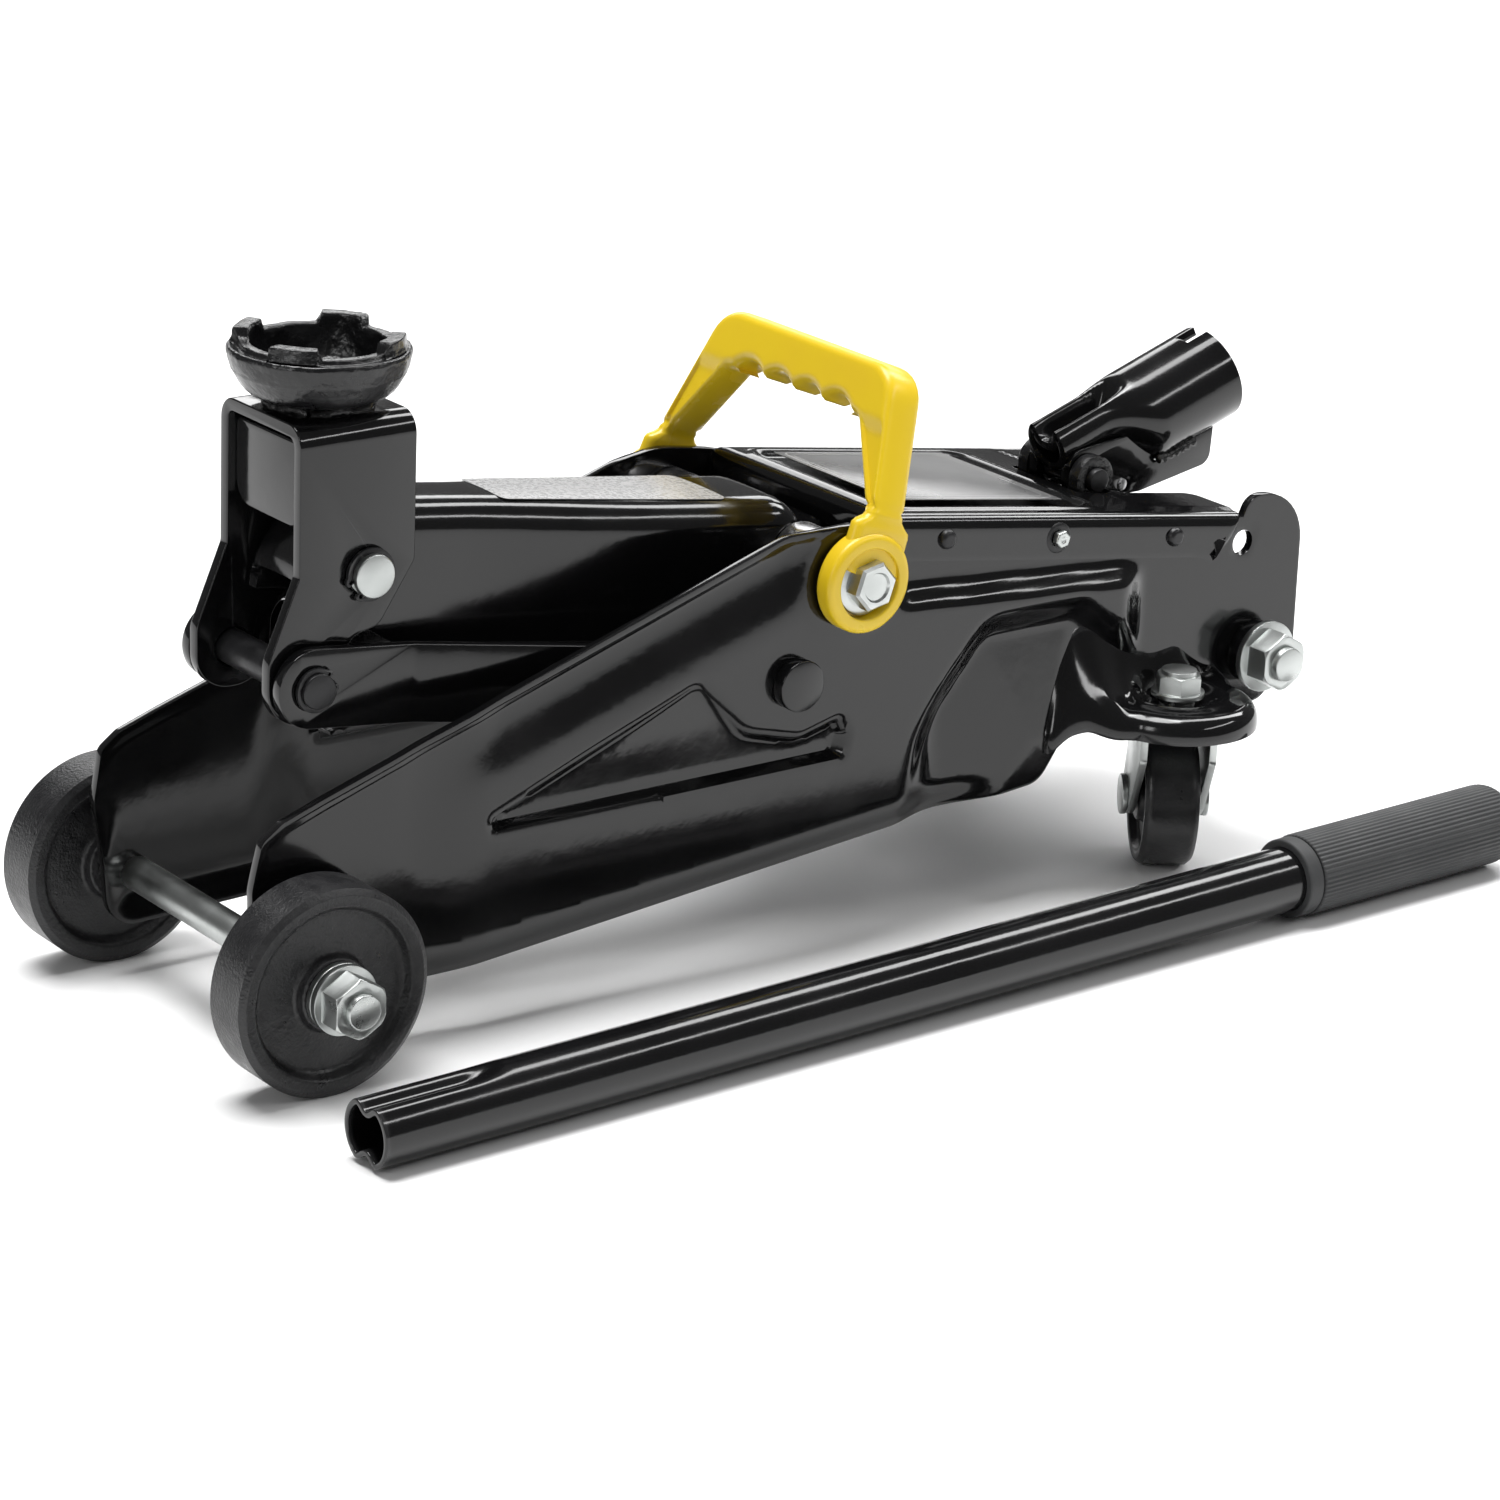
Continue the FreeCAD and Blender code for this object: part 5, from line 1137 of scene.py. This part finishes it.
def cover_screws():
    """Three screws a side: two dark domed heads and a bright hexagon in a dark dimple."""
    face = COVER_HIGH.y
    below_edge = 8.25
    hexagon_x = 294.0
    domes = []
    for x in (246.0, 346.0):
        for sign in (-1, 1):
            profile = rounded_path([(0.01, 2.0, 0), (2.9, 2.0, 1.7), (3.4, 0.0, 0.6), (3.4, -2.0, 0)],
                                   closed=False, step=12.0)
            profile = spread(profile, 0.5, closed=False)
            domes.append(lathe(profile, (x, sign * face, cover_z(x) - below_edge), (0, sign, 0), 40))
    verts, faces = join(domes)
    dark = make_mesh("cover_screws_domed", verts, faces)
    settle(dark, "frame", OXIDE, ("cover_screws",))
    heads = []
    for sign in (-1, 1):
        centre = Vector((hexagon_x, sign * face, cover_z(hexagon_x) - below_edge))
        rings = []
        for along, size in ((-2.0, 2.3), (0.2, 2.3), (0.3, 3.1), (2.4, 3.1), (2.8, 2.7), (2.8, 1.2),
                            (2.4, 0.9)):
            rings.append(ring_round_y(centre, sign * along, size, 6))
        heads.append(sweep(rings))
    verts, faces = join(heads)
    bright = make_mesh("cover_screws_hexagon", verts, faces)
    round_edges(bright, 0.3)
    settle(bright, "frame", ZINC)
    seats = []
    profile = [(3.2, 0.25), (4.6, 0.35), (5.2, 0.0), (5.2, -0.6)]
    for sign in (-1, 1):
        centre = (hexagon_x, sign * face, cover_z(hexagon_x) - below_edge)
        seats.append(lathe(profile, centre, (0, sign, 0), 48))
    verts, faces = join(seats)
    dimple = make_mesh("cover_screws_seat", verts, faces)
    settle(dimple, "frame", OXIDE)


cover_screws()


def label_border():
    """Thin pale line printed round the blank label."""
    box_low, box_high = low("cover_label"), high("cover_label")
    inset, width = 1.6, 0.7
    strips = []
    for grow in (0.0, 2.2):
        x0, x1 = box_low.x + inset + grow, box_high.x - inset - grow
        y0, y1 = box_low.y + inset + grow, box_high.y - inset - grow
        thin = width if grow == 0 else 0.35
        outer = spread(rounded_path([(x0, y0, 4.0), (x1, y0, 4.0), (x1, y1, 4.0), (x0, y1, 4.0)]), 3.0)
        inner = parallel_row(outer, thin)
        slope = (box_high.z - box_low.z - 0.5) / (box_high.x - box_low.x)
        lift = [box_high.z + 0.03 - slope * (x - box_low.x) for x, y in outer]
        count = len(outer)
        verts = [Vector((x, y, z)) for (x, y), z in zip(outer, lift)]
        verts += [Vector((x, y, z)) for (x, y), z in zip(inner, lift)]
        faces = [(k, (k + 1) % count, (k + 1) % count + count, k + count) for k in range(count)]
        strips.append((verts, faces))
    verts, faces = join(strips)
    line = make_mesh("cover_label_border", verts, faces)
    face_up(line)
    thicken(line, 0.12, -1)
    settle(line, "frame", PRINT)


label_border()


# ---- floor, light and camera
def studio():
    bpy.ops.mesh.primitive_plane_add(size=12.0, location=(0.2, 0, 0))
    floor = bpy.context.object
    floor.name = "studio_floor"
    pale = bpy.data.materials.new("studio_floor")
    pale.use_nodes = True
    shader = pale.node_tree.nodes["Principled BSDF"]
    shader.inputs["Base Color"].default_value = (0.93, 0.93, 0.93, 1)
    shader.inputs["Roughness"].default_value = 0.6
    floor.data.materials.append(pale)
    world = bpy.context.scene.world or bpy.data.worlds.new("studio")
    bpy.context.scene.world = world
    world.use_nodes = True
    backdrop = world.node_tree.nodes["Background"]
    backdrop.inputs["Color"].default_value = (1, 1, 1, 1)
    backdrop.inputs["Strength"].default_value = 0.14
    daylight = bpy.data.lights.new("soft_sun", "SUN")
    daylight.energy = 3.3
    daylight.angle = math.radians(32.0)
    sun = bpy.data.objects.new("soft_sun", daylight)
    sun.rotation_euler = Vector((0.10, -0.18, -1.0)).to_track_quat("-Z", "Y").to_euler()
    bpy.context.scene.collection.objects.link(sun)
    lights = [("overhead", (1.15, 0.12, 1.5), (0.2, 0, 0.05), 0.34, 1.8, 19.0),
              ("front_left", (-1.6, -0.5, 0.9), (0.1, 0, 0.08), 0.4, 0.7, 5.0),
              ("near_side", (1.25, -1.30, 1.35), (0.2, 0, 0.05), 1.8, 0.14, 8.0),
              ("behind", (1.35, 1.75, 1.15), (0.2, 0, 0.08), 2.4, 0.60, 20.0)]
    for name, place, target, width, height, power in lights:
        data = bpy.data.lights.new(name, "AREA")
        data.shape = "RECTANGLE"
        data.size, data.size_y, data.energy = width, height, power
        light = bpy.data.objects.new(name, data)
        light.location = place
        light.rotation_euler = (Vector(target) - Vector(place)).to_track_quat("-Z", "Y").to_euler()
        bpy.context.scene.collection.objects.link(light)
    bpy.context.scene.view_settings.view_transform = "Standard"


def camera():
    azimuth, elevation, roll = (math.radians(a) for a in (-37.81, 19.40, 2.573))
    target = Vector((195.80, -14.39, 57.34))
    distance = 1542.9
    back = Vector((math.sin(azimuth) * math.cos(elevation), -math.cos(azimuth) * math.cos(elevation),
                   math.sin(elevation)))
    right = Vector((math.cos(azimuth), math.sin(azimuth), 0))
    up = back.cross(right)
    right_rolled = right * math.cos(roll) + up * math.sin(roll)
    up_rolled = up * math.cos(roll) - right * math.sin(roll)
    data = bpy.data.cameras.new("camera")
    data.sensor_width = 36.0
    data.lens = 113.0
    eye = bpy.data.objects.new("camera", data)
    rotation = Matrix((right_rolled, up_rolled, back)).transposed().to_4x4()
    eye.matrix_world = Matrix.Translation((target + back * distance) * MM) @ rotation
    bpy.context.scene.collection.objects.link(eye)
    bpy.context.scene.camera = eye


studio()
camera()
